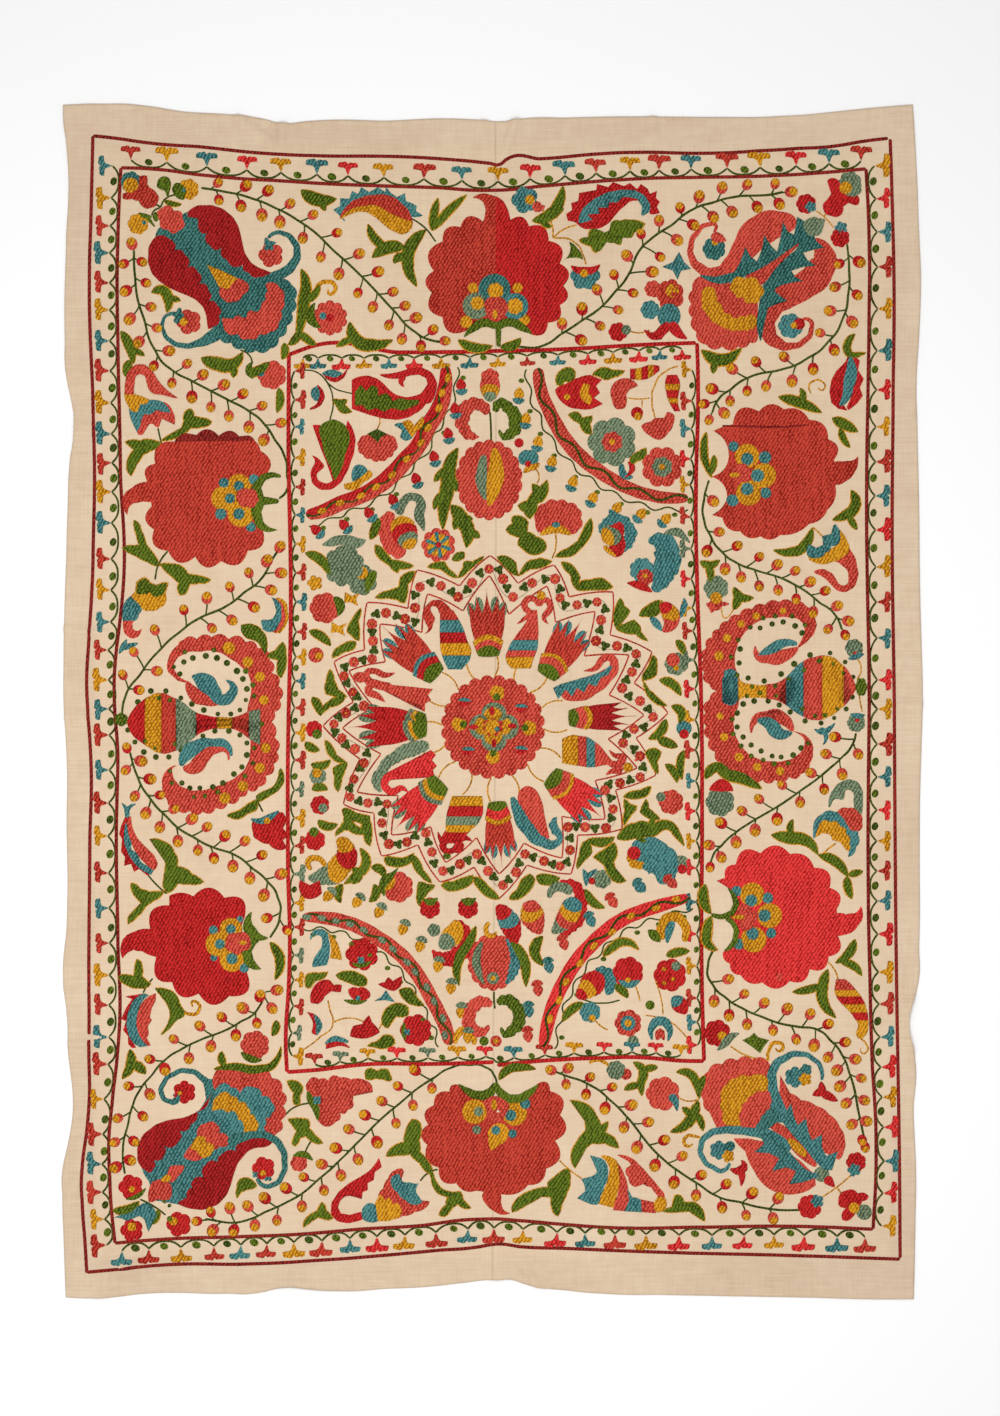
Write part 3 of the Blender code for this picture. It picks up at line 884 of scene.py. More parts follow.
def largeFlowers():
    # top: its two halves are on the two panels, in two dye lots
    lobes("madder", "496.2,224,0 482,221,0 480.4,219.2 460.4,227 442.4,241.5 433.5,271 431.6,293 442.4,317.4 "
          "464.5,332,0 480,323,0 496.2,322,0", pole=(472, 274))
    lobes("crimson", "495.8,224,0 510,220 529.2,226.2 548.8,240.8 560,263.5 563.5,286 560,305.4 548,323 "
          "530.4,334.6,0 512,324,0 495.8,322,0", pole=(520, 272))
    between("crimson", "495.4,196.8 495.4,205 495.4,215 495.4,226",
            "496,196.6 501,199.5 506,206 509,214 511,225", 1)
    between("madder", "473,197.5 482,193.8 490,195 496,197.4 496,210 496,226",
            "473,198 480,200 484.5,206 485,214 481,226", 1)
    ring(494.5, 290, 16.5, 8.4, "deep", "ochre", eyeX=1, eyeY=1)
    ring(476, 306, 13.8, 7.2, "sage", "ochre", eyeX=1.5, eyeY=-2.6)
    ring(515, 306.5, 13.6, 8.6, "blue", "ochre")
    dots("ochre", "473,288,5.5 517.5,288,5.4 466,322,6.4 524.5,320,6", 1)
    lobes("rose", "484,303,.2 495,297,.2 507,303,.2 505,315,.1 498,322,.1 491,321,.1", 3)
    bloom("ochre", 495, 314.6, 5, level=4, tall=0.55, tilt=90)
    ribbon("leaf", "497,327,4 486,323,4.2 474,328,3.8 464,337,0.6", 2)
    ribbon("leaf", "497,327,4 510,322.5,4.2 521,327,4 532,334,0.6", 2)
    ribbon("leaf", "498,322,3 498.5,334,2.6 498.5,347,2", 2)
    # left, upper
    lobes("madder", "146.5,480 155,463.7 175,441.5,.1 194.5,437,.2 219,437,.2 241,439,.25 261,450.8 "
          "264,477,-.2 258,497,-.2 263,530,.33 248,551 221.3,561.3 195.3,557 168,551 154,529.7 151.7,506.3,0",
          pole=(208, 500))
    lobes("wine", "174.5,442,.3 195,437,.3 219,436,.3 241,439,.3 255,440.5,0 240,441.4,0 200,441.4,0",
          1, pole=(215, 439))
    ribbon("madder", "172,492,11 152,492,10.5 136,495,8.5 127,503,5.2 127.3,515,.3", 0)
    ring(239, 486, 12.5, 5.4)
    ring(224, 498.5, 13, 5.6, eyeX=6)
    ring(241, 514, 13.5, 6.2, eyeX=-2)
    dots("blue", "224,483,5.6 254,479.5,5.6 221,514,6 251,527,5.4", 1)
    lobes("rose", "236,497,.3 248,489,.3 258,497,.3 257,503,.3 247,507,.3 238,500,.2", 3)
    ribbon("leaf", "281,476.5,1.6 268,476,3.2 260,482,4 257.5,494,5.5 262,501,4.5", 2)
    ribbon("leaf", "277,530,.5 265,528,3.4 258,518,4.6 258,506,5.6 263,500,4.4", 2)
    ribbon("leaf", "260,501,5 270,501,3.4 279,501.5,2", 2)
    # left, lower
    lobes("crimson", "169.2,905,0 169.2,895.5,.14 193.3,896,.3 224.7,897.5,.4 245,917,-.1 243,945,-.1 "
          "247,972,.4 229.2,996.3 198.7,993.7 172,982 154.5,964.2,-.1 150,928.3", pole=(205, 945))
    ribbon("crimson", "170,946,19 152,942,13.5 138,941,10.5 126,948,6 122.5,958.3,.3", 0)
    ring(231, 929, 11.5, 5.4)
    ring(218, 944, 12.6, 5.6, eyeX=2)
    ring(232, 959.5, 12.6, 6, eyeY=-1)
    dots("blue", "213.5,930,5 240,919,3.8 214,957.5,4 244,968,5", 1)
    lobes("rose", "226,941,.3 237,933,.3 251,941,.3 243,951,.3 232,952,.3", 3)
    bloom("ochre", 243, 942.5, 4.2, level=4, tall=0.6)
    ribbon("leaf", "251.5,912,.6 248,922,4 252,932,5.5 259,937,3.6 268,938,.8", 2)
    ribbon("leaf", "259,937,3.6 251,945,3.8 248,957,5 253,965,4 261,969,.5", 2)
    leaf("270,942 276,950 280,963 275,980", 5)
    # right, upper
    lobes("madder", "732.5,424.2,.36 758.7,411.2,.25 783.8,409.2,.2 809.2,419.7,.25 828.3,439.2 "
          "834.3,459.7,0 835.8,487.5,.14 827.5,510,.15 809.2,524.2,.12 780,535.3,.2 760.3,536.7,.2 "
          "740,531.7,.22 722.2,518,0 711.7,515.3,-.1 727,498,-.18 711,476.7,-.18 728.5,456,-.15 "
          "713.3,430.8,.04", pole=(775, 474))
    ribbon("madder", "826,476,14 840,472,11.5 850,467,7.5 856,461,2.6 858,456.5,.3", 0)
    ribbon("wine", "722,426,.8 750,426.5,1.3 780,427,1.3 808,425,.8", 1)
    ring(747, 456, 12.4, 6.8, eyeY=3)
    ring(763.5, 475.5, 12.6, 7, eyeX=-6)
    ring(748.5, 493, 12.8, 6.8, eyeX=-1.5, eyeY=-4)
    dots("blue", "733.5,446.5,5.4 765,457.5,6.4 732.5,500.5,6.4 765.5,493,5.8", 1)
    lobes("rose", "730,473,.2 738,465,.3 749,469,.3 751,475,.3 743,482,.3 734,480,.2", 3)
    bloom("ochre", 734.5, 475, 5.5, level=4, tall=0.5)
    # right, lower
    lobes("bright", "716.3,880.5,0 724.7,877.5,.3 735.5,864.2,.36 760.3,853,.28 790,853.7,.22 "
          "814.2,867.5,.33 829.7,887.5,.33 837,908.7,0 838.3,936.3,.33 828.7,956.7,.33 809.7,969.2,.3 "
          "789.7,981.3,.25 762.2,982.7,.2 740.5,975.3,.25 729.5,963.7,.2 722.5,952.5,-.1 735,930,-.2 "
          "729,917,-.2 736,900,-.1", pole=(778, 918))
    ribbon("bright", "828,922,13.5 842,924,11.5 853,920,8 860,912,3 860.8,906,.3", 0)
    ring(752, 894.5, 12.4, 6.4, eyeX=-1, eyeY=6)
    ring(769.5, 915.5, 12.6, 6.6, eyeX=-5)
    ring(753.5, 939.5, 13, 6.6, eyeX=-1, eyeY=-6)
    dots("blue", "736.5,891,5.6 767.5,898,5.8 739,944,5.8 771,933,5.4", 1)
    dots("rose", "744,911,7.4 754,916,5 746.5,923,7.6", 3)
    bloom("ochre", 738.5, 917, 6.8, level=4, tall=0.36)
    bloom("rose", 779, 976.7, 4.6, level=1, tall=0.75, tilt=90)
    ribbon("leaf", "728,888,.6 734,897,2.6 734.5,908,3 727,915,2.8 711,915,2", 2)
    ribbon("leaf", "726,918,2.4 734,925,2.6 735.5,936,2.8 731,946,2.6 724,951,.5", 2)
    leaves(5.2, "705,884 703.5,900 711,914", "711,916 707,932 709,945 718,950", level=2)
    # bottom
    lobes("madder", "457.5,1084.2,.3 449.2,1091.3,.3 433.7,1105 428,1124.2 427,1144.7,.28 438.7,1167.5 "
          "456.2,1183.3,.2 476.2,1190.8,0 505,1194.7,.14 528.3,1185,.25 546.3,1168.7 555.3,1140.5 "
          "560.3,1114.7 550.3,1090.8,.4 537.5,1083.3,-.1 515,1099,-.1 496,1096,-.1 477,1094,-.1",
          pole=(495, 1140))
    ribbon("madder", "489,1188,15 493,1199,9.5 498,1208,5.2 504,1212.5,2.4 510.5,1213,.3", 0)
    ring(474.5, 1111.5, 12.6, 5.4, eye="sage", eyeX=4)
    ring(514.5, 1113, 12.8, 6.2, eyeX=-4, eyeY=2)
    ribbon("ochre", "497,1123,11 498,1133,11 494,1142,6.5 491.5,1150.5,.8", 1)
    dots("blue", "495.8,1130,4.8 512.5,1133.5,4.6 525,1103.5,5.6", 2)
    dots("sage", "476.7,1129.5,5", 1)
    lobes("rose", "484,1100,.2 505,1100,.2 509,1108,.1 496,1124,.1 488,1113,.1", 3)
    bloom("ochre", 494, 1104.5, 6.2, level=4, tall=0.5, tilt=90)
    dots("cotton", "498,1111,1.6", 5)
    ribbon("leaf", "458.5,1084,.5 468,1091,3.4 479,1095,4.4 489,1093,5 494.5,1083,1.6", 2)
    ribbon("leaf", "495.5,1082,1.6 502,1094,4.4 515,1098.5,4.2 528,1093.5,3.8 538.5,1084,.5", 2)


# Small flowers and leaves of the border

def posies(*texts):
    # each text is one flower: its fills from the lowest up, as thread,x,y,radius, and where the
    # usual petals don't do, also how many and how deeply they are parted
    for text in texts:
        for level, word in enumerate(text.split()):
            thread, *numbers = word.split(",")
            x, y, r, *more = (float(number) for number in numbers)
            petals, depth = more + [7 if r > 8.5 else 0, 0.12][len(more):]
            bloom(thread, x, y, r, petals=int(petals), depth=depth, level=level)


def strips(thread, level, *texts, teeth=None):
    for text in texts:
        ribbon(thread, text, level, teeth=teeth)


def corners():
    # top left
    posies("deep,131,182,11 ochre,131,185.6,8", "ochre,188.5,189.5,11 blue,184,190.6,2.8",
           "ochre,138.3,224,11 blue,144.4,222.8,2.8")
    lobes("madder", "139,177,.1 147,176,.1 147,184,0 150,188,.1 157,194,.2 158,202,.2 151,208,.2 "
          "143,207,.1 139,201,.1 132,199,.1 123,199,.1 123,194,.1 131,193,0 139,188,0", 2, pole=(146, 196))
    stem("176,195 167,198 163,202 160.6,207 154,211 151.7,216")
    stem("153,203 160.6,207")
    lobes("leaf", "168,199,0 165,191,.1 157,187,.1 159,179,.2 169,178,.1 171,187,0", 1)
    lobes("leaf", "172,189,.1 176,183,.1 183,185,.1 187,191,0 184,200,.1 177,198,.1", 1)
    strips("leaf", 1,
           "139,213,.6 147,217,2.6 152,217,.8", "147,217,2.6 155,227,.6", "156,212,1 156,217,3.2 156,222,1")
    leaves(2.6, "164,200.6 172,204 182,204.5")
    # top right
    bloom("madder", 670.4, 295.4, 14, petals=7, level=0, tall=1.2)
    posies("rose,653,289,9", "blue,650,310,10", "ochre,672,291,8", "crimson,840,238,10",
           "crimson,806,204,10.5", "sage,850,183,12 sage,852,188,10 ochre,845.5,188,6.5",
           "crimson,618,332,10 sage,626,330,5")
    bloom("blue", 669, 316, 11.5, level=1, tall=1.1)
    strips("crimson", 1, "669,322,5 662,331,5 655,336,4.4 644,330,.5", "660,331,4 661,340,.8",
           "671,322,5 677,332,5 687,339,.8")
    lobes("blue", "679,252,0 684,262,0 691,269,0 681,271,0 677.5,280,0 673,271,0 662,267,0 673,262,0", 1,
          pole=(677, 266))
    stem("650,330 640,333 629,331", 1.1, "ochre")
    bloom("blue", 810.5, 207, 6, petals=5, depth=0.3, level=1)
    bloom("blue", 841, 228, 7, petals=5, depth=0.3, level=0)
    stem("824,217 827,211", 1.1, "ochre")
    stem("816,211 824,217 833.5,228", 1.1, "ochre")
    lobes("sage", "803,224,.1 811,218,.2 818,219,.1 825,220,0 822,231,.2 815,236,.2 806,233,.1", 3)
    lobes("crimson", "827,181,.2 836,179,.2 840,188,0 849,191,0 857,195,.2 858,205,.2 850,202,0 "
          "843,207,.1 842,214,.2 831,216,.2 823,209,.2 826,201,0 831,194,0", 1, pole=(837, 198))
    # bottom left
    posies("crimson,131,1186.7,13,5,.2 ochre,132,1189,3.4",
           "crimson,132,1230,12,5,.2 ochre,132,1226.6,5,4,.2",
           "crimson,179,1224,13,5,.18 ochre,173.5,1221,4.6 leaf,170,1218.7,3")
    strips("leaf", 1, "126,1199,.6 137,1196,2.6 146,1188,.6", "163,1200,2.2 166,1203,1",
           "171,1204,2.2 168,1207,1")
    leaves(4.6, "112.6,1210 125,1210 140,1201")
    leaves(4, "150.7,1224 156,1217 159,1209")
    stem("140,1199 152,1205 166,1215")
    lobes("blue", "135,1208,0 142,1203.5,.2 153,1207,.1 157,1216,0 148.5,1231.7,0 146,1221,-.3 "
          "127,1221,-.1 113.7,1217.6,0", 1, pole=(143, 1214))
    # bottom right
    stem("852,1174 836.7,1187 822.6,1196.7", 1.2, "ochre")
    stem("836.7,1187 842,1194.6", 1.2, "ochre")
    posies("crimson,856,1162,10.5", "crimson,809.6,1206.5,12.5", "sage,821.5,1174,8", "sage,864,1212,8")
    bloom("blue", 854, 1169.6, 7, petals=5, depth=0.3, level=1)
    bloom("blue", 817, 1201, 7, petals=5, depth=0.3, level=1)
    strips("crimson", 1, "825,1177,6 830,1182,4 834.6,1187,.6")
    lobes("crimson", "838,1199,.2 846,1190,.2 858,1193,.2 869,1196,.2 862,1201,.2 857,1207,.1 852,1218,.2 "
          "842,1220,.2 846,1208", 0, pole=(851, 1202))
    bloom("ochre", 854, 1207.6, 5.6, level=1)


def palmetteTopLeft():
    between("deep", "155,238 160,227 172,225 183,214 196,212 214,232 234,256 262,276 277,277",
            "157,238 170,252 182,268 196,285 208,302 214,330 222,336 236,330 262,300", 0)
    between("carmine", "187,213 193,208 205,205.5 217,207 228,213 236,222 240,232 243,245 248,258 256,266 "
            "265,270 273,273.5", "186,217 199,219,.1 199,230,.3 208,233,.3 210,246,.3 222,248,.3 "
            "227,260,.3 243,265,.3 249,273,.25 260,277,.15 273,274.4", 1)
    between("carmine", "158,235 151,243 148.5,255 150,268 156,278 165,285 178,292 190,297 199,303 205,312 "
            "207,322 208,329", "163,235 173,241,.2 175,251,.3 185,255,.3 187,268,.3 198,272,.3 199,284,.3 "
            "209,291,.3 209,301,.2 218,306,.3 219,316,.3 213,327,.2 209,329", 1)
    lobes("deep", "268,276,.2 280,279,.2 292,285,.25 295,300,.25 292,313,.25 287,326,.25 279,338,.25 "
          "270,349,.25 256,351,.25 243,349,.25 231,343,.25 219,337,0 215,318,0 220,300,0 245,279,0", 0,
          pole=(254, 312))
    between("rose", "222,319 224,329,.25 238,334,.25 249,339,.25 260,334,.2 270,332,.25 279,322,.2 "
            "281,311,.2 284,300,.2 280,288,.2 268,283", "222,318 233,319,.2 240,316,-.2 247,317,.2 "
            "251,310,-.3 261,308,.2 266,300,.2 268,291,.1 266,284", 2)
    lobes("rose", "216,270,0 236,278,.1 249,285,.2 243,295,.2 233,302,.2 224,300,.2 220,288,0", 2)
    lobes("ochre", "207,265,0 220,270,0 238,278.5,0 228,290,0 219,287,0", 3)
    ribbon("deep", "262,279,2 275,276,4.6 285,272,5 293,264,4.5 297,252,3.5 293,241,3 284,234,2.3 "
           "276,233,2 268,238,1.6", 1)
    ribbon("deep", "222,330,7 210,338,6 196,344,3.4 182,345.5,2.6 171,341,2.3 164,332,2 163,322,1.8 "
           "168,315,1.6 177,314,2.4", 1)
    posies("rose,271,255,13,5,.2 deep,269,246,6,4,.45",
           "rose,189,322,13,5,.18 deep,179,318,6.5,4,.4 ochre,183.7,322,4.2")
    strips("deep", 3, "180,308,1.4 179,314,3 177,324,1.2", "266,238,1.4 268,243,2.6 276,243,1")
    lobes("rose", "162,208 174,211 183,219 179,231 168,230 160,221", 1)


def palmetteTopRight():
    ribbon("rose", "714,233,1.6 716,226,2 707,225,2.4 697,233,2.8 691,246,3 692,258,3.6 700,268,5 "
           "715,273,6 731,265,9 745,248,13 762,230,16 780,224,13 797,223,6", 0)
    ribbon("rose", "812,240,4 823,252,10 820,270,14 805,285,14 785,297,13 771,313,9 768,330,8 778,343,6 "
           "792,346,3.6 804,341,3 811,330,2.6 809,320,2.2 802,319,1.5", 0)
    lobes("rose", "700,276,.2 692,290,.25 691,304,.25 692,318,.25 696,332,.25 706,345,.25 722,347,.25 "
          "738,347,.25 750,343,.3 758,338,0 758,300,0 755,276,0 730,283,0", 0, pole=(730, 312))
    ribbon("ochre", "711,287,6 709,299,7 715,311,8 726,318,9 740,322,8 757,321,6", 1, teeth=(6, 1.6))
    bloom("rose", 738, 300, 19, petals=9, level=2)
    lobes("ochre", "731,284 745,279 760,285 760,298 752,303 743,297 734,293", 3, pole=(750, 290))
    between("deep", "700,275,.01 715,277 735,272 741,262 745,247 750,256 757,262 762,249 764,235 771,246 "
            "777,252 780,240 783,222 788,232 794,235 797,217 805,222",
            "701,277 714,283 728,283 745,277 765,268 785,255 798,245 806,232", 2)
    between("deep", "801,220,.01 812,232 816,241 824,248 813,250 803,253 807,260 816,266 803,267 791,271 "
            "795,277 803,281 790,283 776,286 775,292 787,301 775,301 768,308 764,325 761,341",
            "797,232 798,246 788,256 776,268 765,281 761,296 758,312 757,328 760,341", 2)
    between("rose", "799,243 783,254 765,266 745,276", "798,246 786,258 774,270 763,284 750,290", 3)
    posies("deep,714,249,12 ochre,715,242,4", "blue,790.5,326,13 crimson,799,324,6 ochre,794,325.5,3.5")
    strips("rose", 2, "711,236,4 718,238,5 726,241,.6")


def palmetteBottomLeft():
    between("blue", "208,1078 202,1106 186,1120 165,1133 148,1150 143,1172 150,1184 149,1200",
            "214,1078 226,1110 262,1136 276,1139 250,1146 236,1158 222,1182 206,1196 180,1205", 0)
    between("carmine", "212,1090 205,1103 190,1115 165,1121 150,1129 140,1141 137.5,1154 140,1165 148,1172",
            "213,1094 209,1101,.2 197,1111,.25 191,1124,.25 180,1131,.25 179,1141,.25 164,1146,.25 "
            "165,1154,.25 154,1160,.25 153,1169,.2 149,1173", 1)
    between("carmine",
            "178,1204 195,1209 211,1207 223,1199 230,1187 235,1171 243,1157 255,1148 268,1146 274,1141",
            "178,1202 187,1197,.25 193,1187,.25 192,1181,.2 204,1177,.25 206,1164,.25 218,1162,.25 "
            "222,1154,.2 236,1151,.25 240,1143,.2 252,1138,.2 264,1137,.1 273,1140", 1)
    ribbon("deep", "211,1100,6 209,1088,4.5 201,1077,3 188,1071,2.6 174,1074,2.4 164,1083,2.4 "
           "162,1094,2.6 169,1101,2.4 177,1100,3 179,1093,.6", 1)
    posies("crimson,184.5,1092,12,6,.2 ochre,180,1093,2.6", "blue,177,1097,5,4,.4",
           "crimson,263.7,1168,12,5,.2 ochre,263,1173,3.4", "blue,268,1177,5,4,.4",
           "blue,256,1174,4.6,4,.4")
    lobes("rose", "152,1182,.1 166,1179,.1 172,1187,.1 170,1199,.1 158,1199,.1 149,1202,.1", 1)
    lobes("rose", "167,1175,.05 170,1166,.05 181,1165,.1 185,1166,.1 178,1176,.1 171,1183,.05", 1)
    lobes("ochre", "160,1180,.05 167,1174,.05 172,1176,.1 168,1182,.1", 2)
    lobes("rose", "183,1157,.05 190,1146,.05 197,1139,0 197,1131,.2 206,1123,.25 217,1124,.25 219,1133,.2 "
          "228,1136,.25 229,1144,.2 220,1146,.1 214,1150,0 203,1158,.1 193,1161,.05", 1, pole=(206, 1144))
    lobes("ochre", "190,1148,0 195,1138,.15 204,1136,.15 206,1142,.1 214,1145,.15 213,1151,.15 "
          "204,1158,.1 197,1151,0", 2)
    lobes("rose", "213,1086,.1 214,1075,.3 226,1070,.3 241,1070,.3 258,1071,.3 272,1078,.3 282,1091,.3 "
          "283,1106,.3 281,1120,.3 277,1133,.2 264,1136,0 255,1134,0 225,1110,0", 1, pole=(250, 1106))
    lobes("blue", "213,1096,.1 218,1086,.3 231,1087,.2 240,1093,.25 254,1087,.25 262,1096,.25 272,1102,.3 "
          "272,1113,.25 265,1118,.25 264,1127,.25 262,1136,0 240,1137,0 212,1112,0", 2, pole=(243, 1112))
    between("ochre", "213,1100,.01 219,1094,.3 232,1096,.3 239,1102,.3 248,1107,.25 250,1114,.3 "
            "256,1119,.25 257,1130,.25 255,1135",
            "212,1111 222,1109 228,1113,-.3 236,1113,-.1 238,1120,-.3 243,1124,-.1 243,1134", 3)
    ribbon("deep", "228,1143,5 243,1137,4.6 258,1134.5,3.6 272,1138,3.6 281,1147,3.3 284.5,1161,2.9 "
           "282,1175,2.6 273,1184.5,2.4 263,1185,2.2 257,1178,1.8", 4)


def palmetteBottomRight():
    lobes("rose", "716,1127,0 709,1112,.2 703,1100,.2 704,1085,.25 708,1071,.25 722,1064,.25 737,1060,.25 "
          "752,1059,.25 770,1064,0 773,1100,0 765,1129,0 740,1130,0", 0, pole=(740, 1098))
    lobes("ochre",
          "769,1079 749,1076.5 736,1078 727,1084 721,1100 723,1112 726,1125,0 740,1126,0 768,1100,0", 1,
          bulge=0.2, pole=(746, 1100))
    lobes("rose", "770,1092,.2 762,1091,.2 753,1094.6,.2 746.5,1101,.2 741,1110,.2 740,1121,.2 742,1127,0 "
          "755,1128,0 766,1112,0 772,1101,0", 2, pole=(756, 1110))
    lobes("deep", "774,1104,-.1 766,1110,-.1 761,1116,-.1 755,1126,.2 765,1129,.1 773,1125,.1 779,1118.5,0",
          3)
    ribbon("blue", "784,1122,8 776,1102,7 772,1082,5 774,1068,4.4 785,1058,3.6 800,1054,2.8 813,1059,2.4 "
           "821,1069,2.2 822,1080,1.5", 1)
    lobes("crimson", "821,1081 826,1090 838,1101 828,1100 821,1096 812,1095 818,1088", 2, bulge=0.1)
    posies("blue,795,1077,11,6,.2", "deep,806,1069.6,6.4,5,.2 ochre,805,1079,7,5,.3",
           "blue,719,1150,10,6,.2", "deep,730,1146,5.4 ochre,728,1156,6.6,5,.3")
    lobes("rose", "780,1075,.08 781,1090,.1 788,1092.5,.1 801,1100,.1 816,1105.5,.1 829,1114,.1 "
          "840,1127,.1 845,1140,.1 844,1151,.1 839,1160,0 800,1140,0 778,1110,0", 0, pole=(806, 1122))
    between("blue", "776,1106,.01 784,1114 791,1103 794,1117 798,1125 806,1118 808,1131 812,1140 822,1134 "
            "822,1147 826,1156 838,1151 835,1160 832,1170",
            "776,1112 784,1124 792,1134 801,1144 810,1155 817,1163 825,1170", 2)
    lobes("rose", "733,1138,0 748,1138,0 772,1143,0 800,1160,0 815,1175,0 816,1185,.08 797,1194,.06 "
          "780,1193.5,.06 765,1186,.06 754,1171,.05 745,1151,.05", 0, pole=(778, 1168))
    strips("rose", 1, "766,1122,2 778,1128,5 792,1142,5 806,1156,5 816,1166,2")
    strips("ochre", 2, "788,1139,2 796,1146,4.4 806,1156,2.4")
    between("blue", "760,1134,.01 764,1144 754,1152 769,1153 779,1158 772,1171 786,1167 796,1171 789,1184 "
            "803,1182 820,1176", "768,1131 778,1139 788,1150 797,1160 806,1169 818,1174", 3)
    ribbon("blue", "790,1150,6 770,1136,6 750,1131,5 735,1130,4.2 720,1130.5,3.6 708,1135,3.2 "
           "701,1146,2.8 703,1158,2.6 713,1167,2.4 724,1170,2.2 730,1163,1.6", 1)
    strips("crimson", 2, "730,1169,1 740,1170,4.4 744,1164,3 741,1160,.6",
           "741,1170,4 742,1178,3 741,1186,.6")


def topMiddle():
    between("blue", "345,223,.01 341,217 333,210 340,206 340,198 349,199 352,191 358,194 361,187 369,192 "
            "378,187 385,192 386,187 391,193 397,197 405,193 406,201 412,203 417,206 416,211 424,216",
            "346,221 342,215 348,207 360,201 375,198 390,199 402,207 411,217 420,217", 0)
    between("madder", "340,217 348,205 360,198 375,195 390,196 402,204 411,216 413,224",
            "340,218 352,211 365,208 378,208 390,215 402,220 412,225", 1)
    between("ochre", "340,218 352,209 365,206 378,206 388,212 399,217 413,222",
            "341,219.5 352,214 362,212 373,216 384,225 395,232 405,234 412,228", 2)
    stem("405,216 420,224 436,242")
    leaves(4.4, "432,231 434,215 438,198", "432,231 448,212 467,195")
    leaves(6.4, "426,230 412,245 408,262 417,287", "405,247 385,249 372,258")
    leaves(4.6, "408,258 398,258 394,264", "388,248 376,240 368,224")
    leaves(5, "458,340 475,348 493,346", "500,347 512,346 521,338")
    posies("blue,525,200,14,5,.2 ochre,530,200,5.4", "rose,537,206,5")
    strips("rose", 1, "533,204,5 540,208,4 545,206,.6")
    stem("540,208 551,222 553,238", 1.2, "ochre")
    stem("553,238 563,230 577,225", 1.2, "ochre")
    stem("553,238 575,243 583,255 586,265", 1.2, "ochre")
    leaves(6, "532,221 548,216 559,202 563,186")
    leaves(3.4, "552,214 558,211 564,209", "541,219 546,225 552,227")
    between("crimson", "568,222,.01 566,214 572,210 571,203 578,201 579,193 590,191 596,190 597,184 "
            "608,187 613,182 624,186 630,183 637,189 641,184 648,189 650,194 657,191 656,198 660,202 "
            "657,207 660,213 654,215",
            "576,222 582,228 592,229 605,226 615,216 624,207 636,201 645,204 650,215", 0)
    between("blue", "578,223 581,212 589,203 600,196 615,191 628,190 640,193 648,201 650,210 643,216",
            "579,224,.01 593,220 586,215 600,214 594,208 608,208 603,202 617,203 613,199 626,197 637,199 "
            "642,207 641,215", 1)
    for thread, level, grow in (("ochre", 0, 1.03), ("leaf", 1, 0.99)):
        outline = marksOf("579,240,.15 588,238,0 589,231,.2 598,230,.1 604,233,0 610,230,0 611,223,.2 "
                          "620,221,.1 630,220,.1 645,224,.1 640,230,0 634,233,.1 631,238,.1 623,237,0 "
                          "621,245,.1 614,243,.1 607,242,0 602,249,.1 595,253,.1 591,247,0 583,244,.1")
        outline[:, :2] = (612, 234) + (outline[:, :2] - (612, 234)) * grow
        lobes(thread, outline, level, pole=(608, 236))
    lobes("leaf", "569,242,.1 577,248,.1 583,260,-.1 573,258,-.1 563,261,-.1 570,252,-.1", 1, pole=(573, 254))
    lobes("blue", "573,270,.3 573,281,.35 584,288,.35 596,282,.3 598,270,0", 0)
    strips("crimson", 1, "571,266,.8 577,270,3.4 585,271,4 593,270,3.4 600,265,.8")
    bloom("ochre", 584, 273.5, 4.4, level=2)
    # beside the palmettes
    leaves(5, "121,331 129,345 134,364")
    leaves(3, "130,350 138,352 145,356")
    leaves(5.4, "151.5,293 162,290.5 168,299 167,313")
    leaves(3.4, "166,300 173,299 181,301")
    leaf("301,269 305,280 304,300 301,322 297,341", 6)
    leaves(4, "303,302 313,296 320,284", "300,330 295,340 288,345", "299,332 308,340 317,346")
    ribbon("ochre", "315,288,2.4 327,282,2.6 334.5,285,2.4 334.5,291.5,2.2 329,294,1.8 328,289,1", 0)
    bloom("rose", 330, 318, 18, petals=10, level=0)
    ribbon("leaf", "315,303,.6 311,312,4 314,323,4 321,328,.6", 1)
    bloom("blue", 323, 316, 4, level=1)
    leaf("201,358 218,364 233,364 243,352", 7)
    leaves(4, "232,364 234,371 233,378", "284,343 285,352 282,360", "279,388 280,402 277,413")
    leaves(5, "246,374 258,371 270,362")
    posies("rose,272,375,15 blue,261,373,4")
    ribbon("leaf", "252,362,.6 249,370,3.6 253,379,.6", 1)
    stem("240,350 248,354 253,364")
    leaf("301,190 315,199 337,199", 6.6)
    leaves(3, "322,201 323,206 326,211")
    leaf("350,322 355,338 372,345 393,340", 6.6)
    leaves(3.6, "356,338 345,342 336,347")
    posies("crimson,330,318,5")


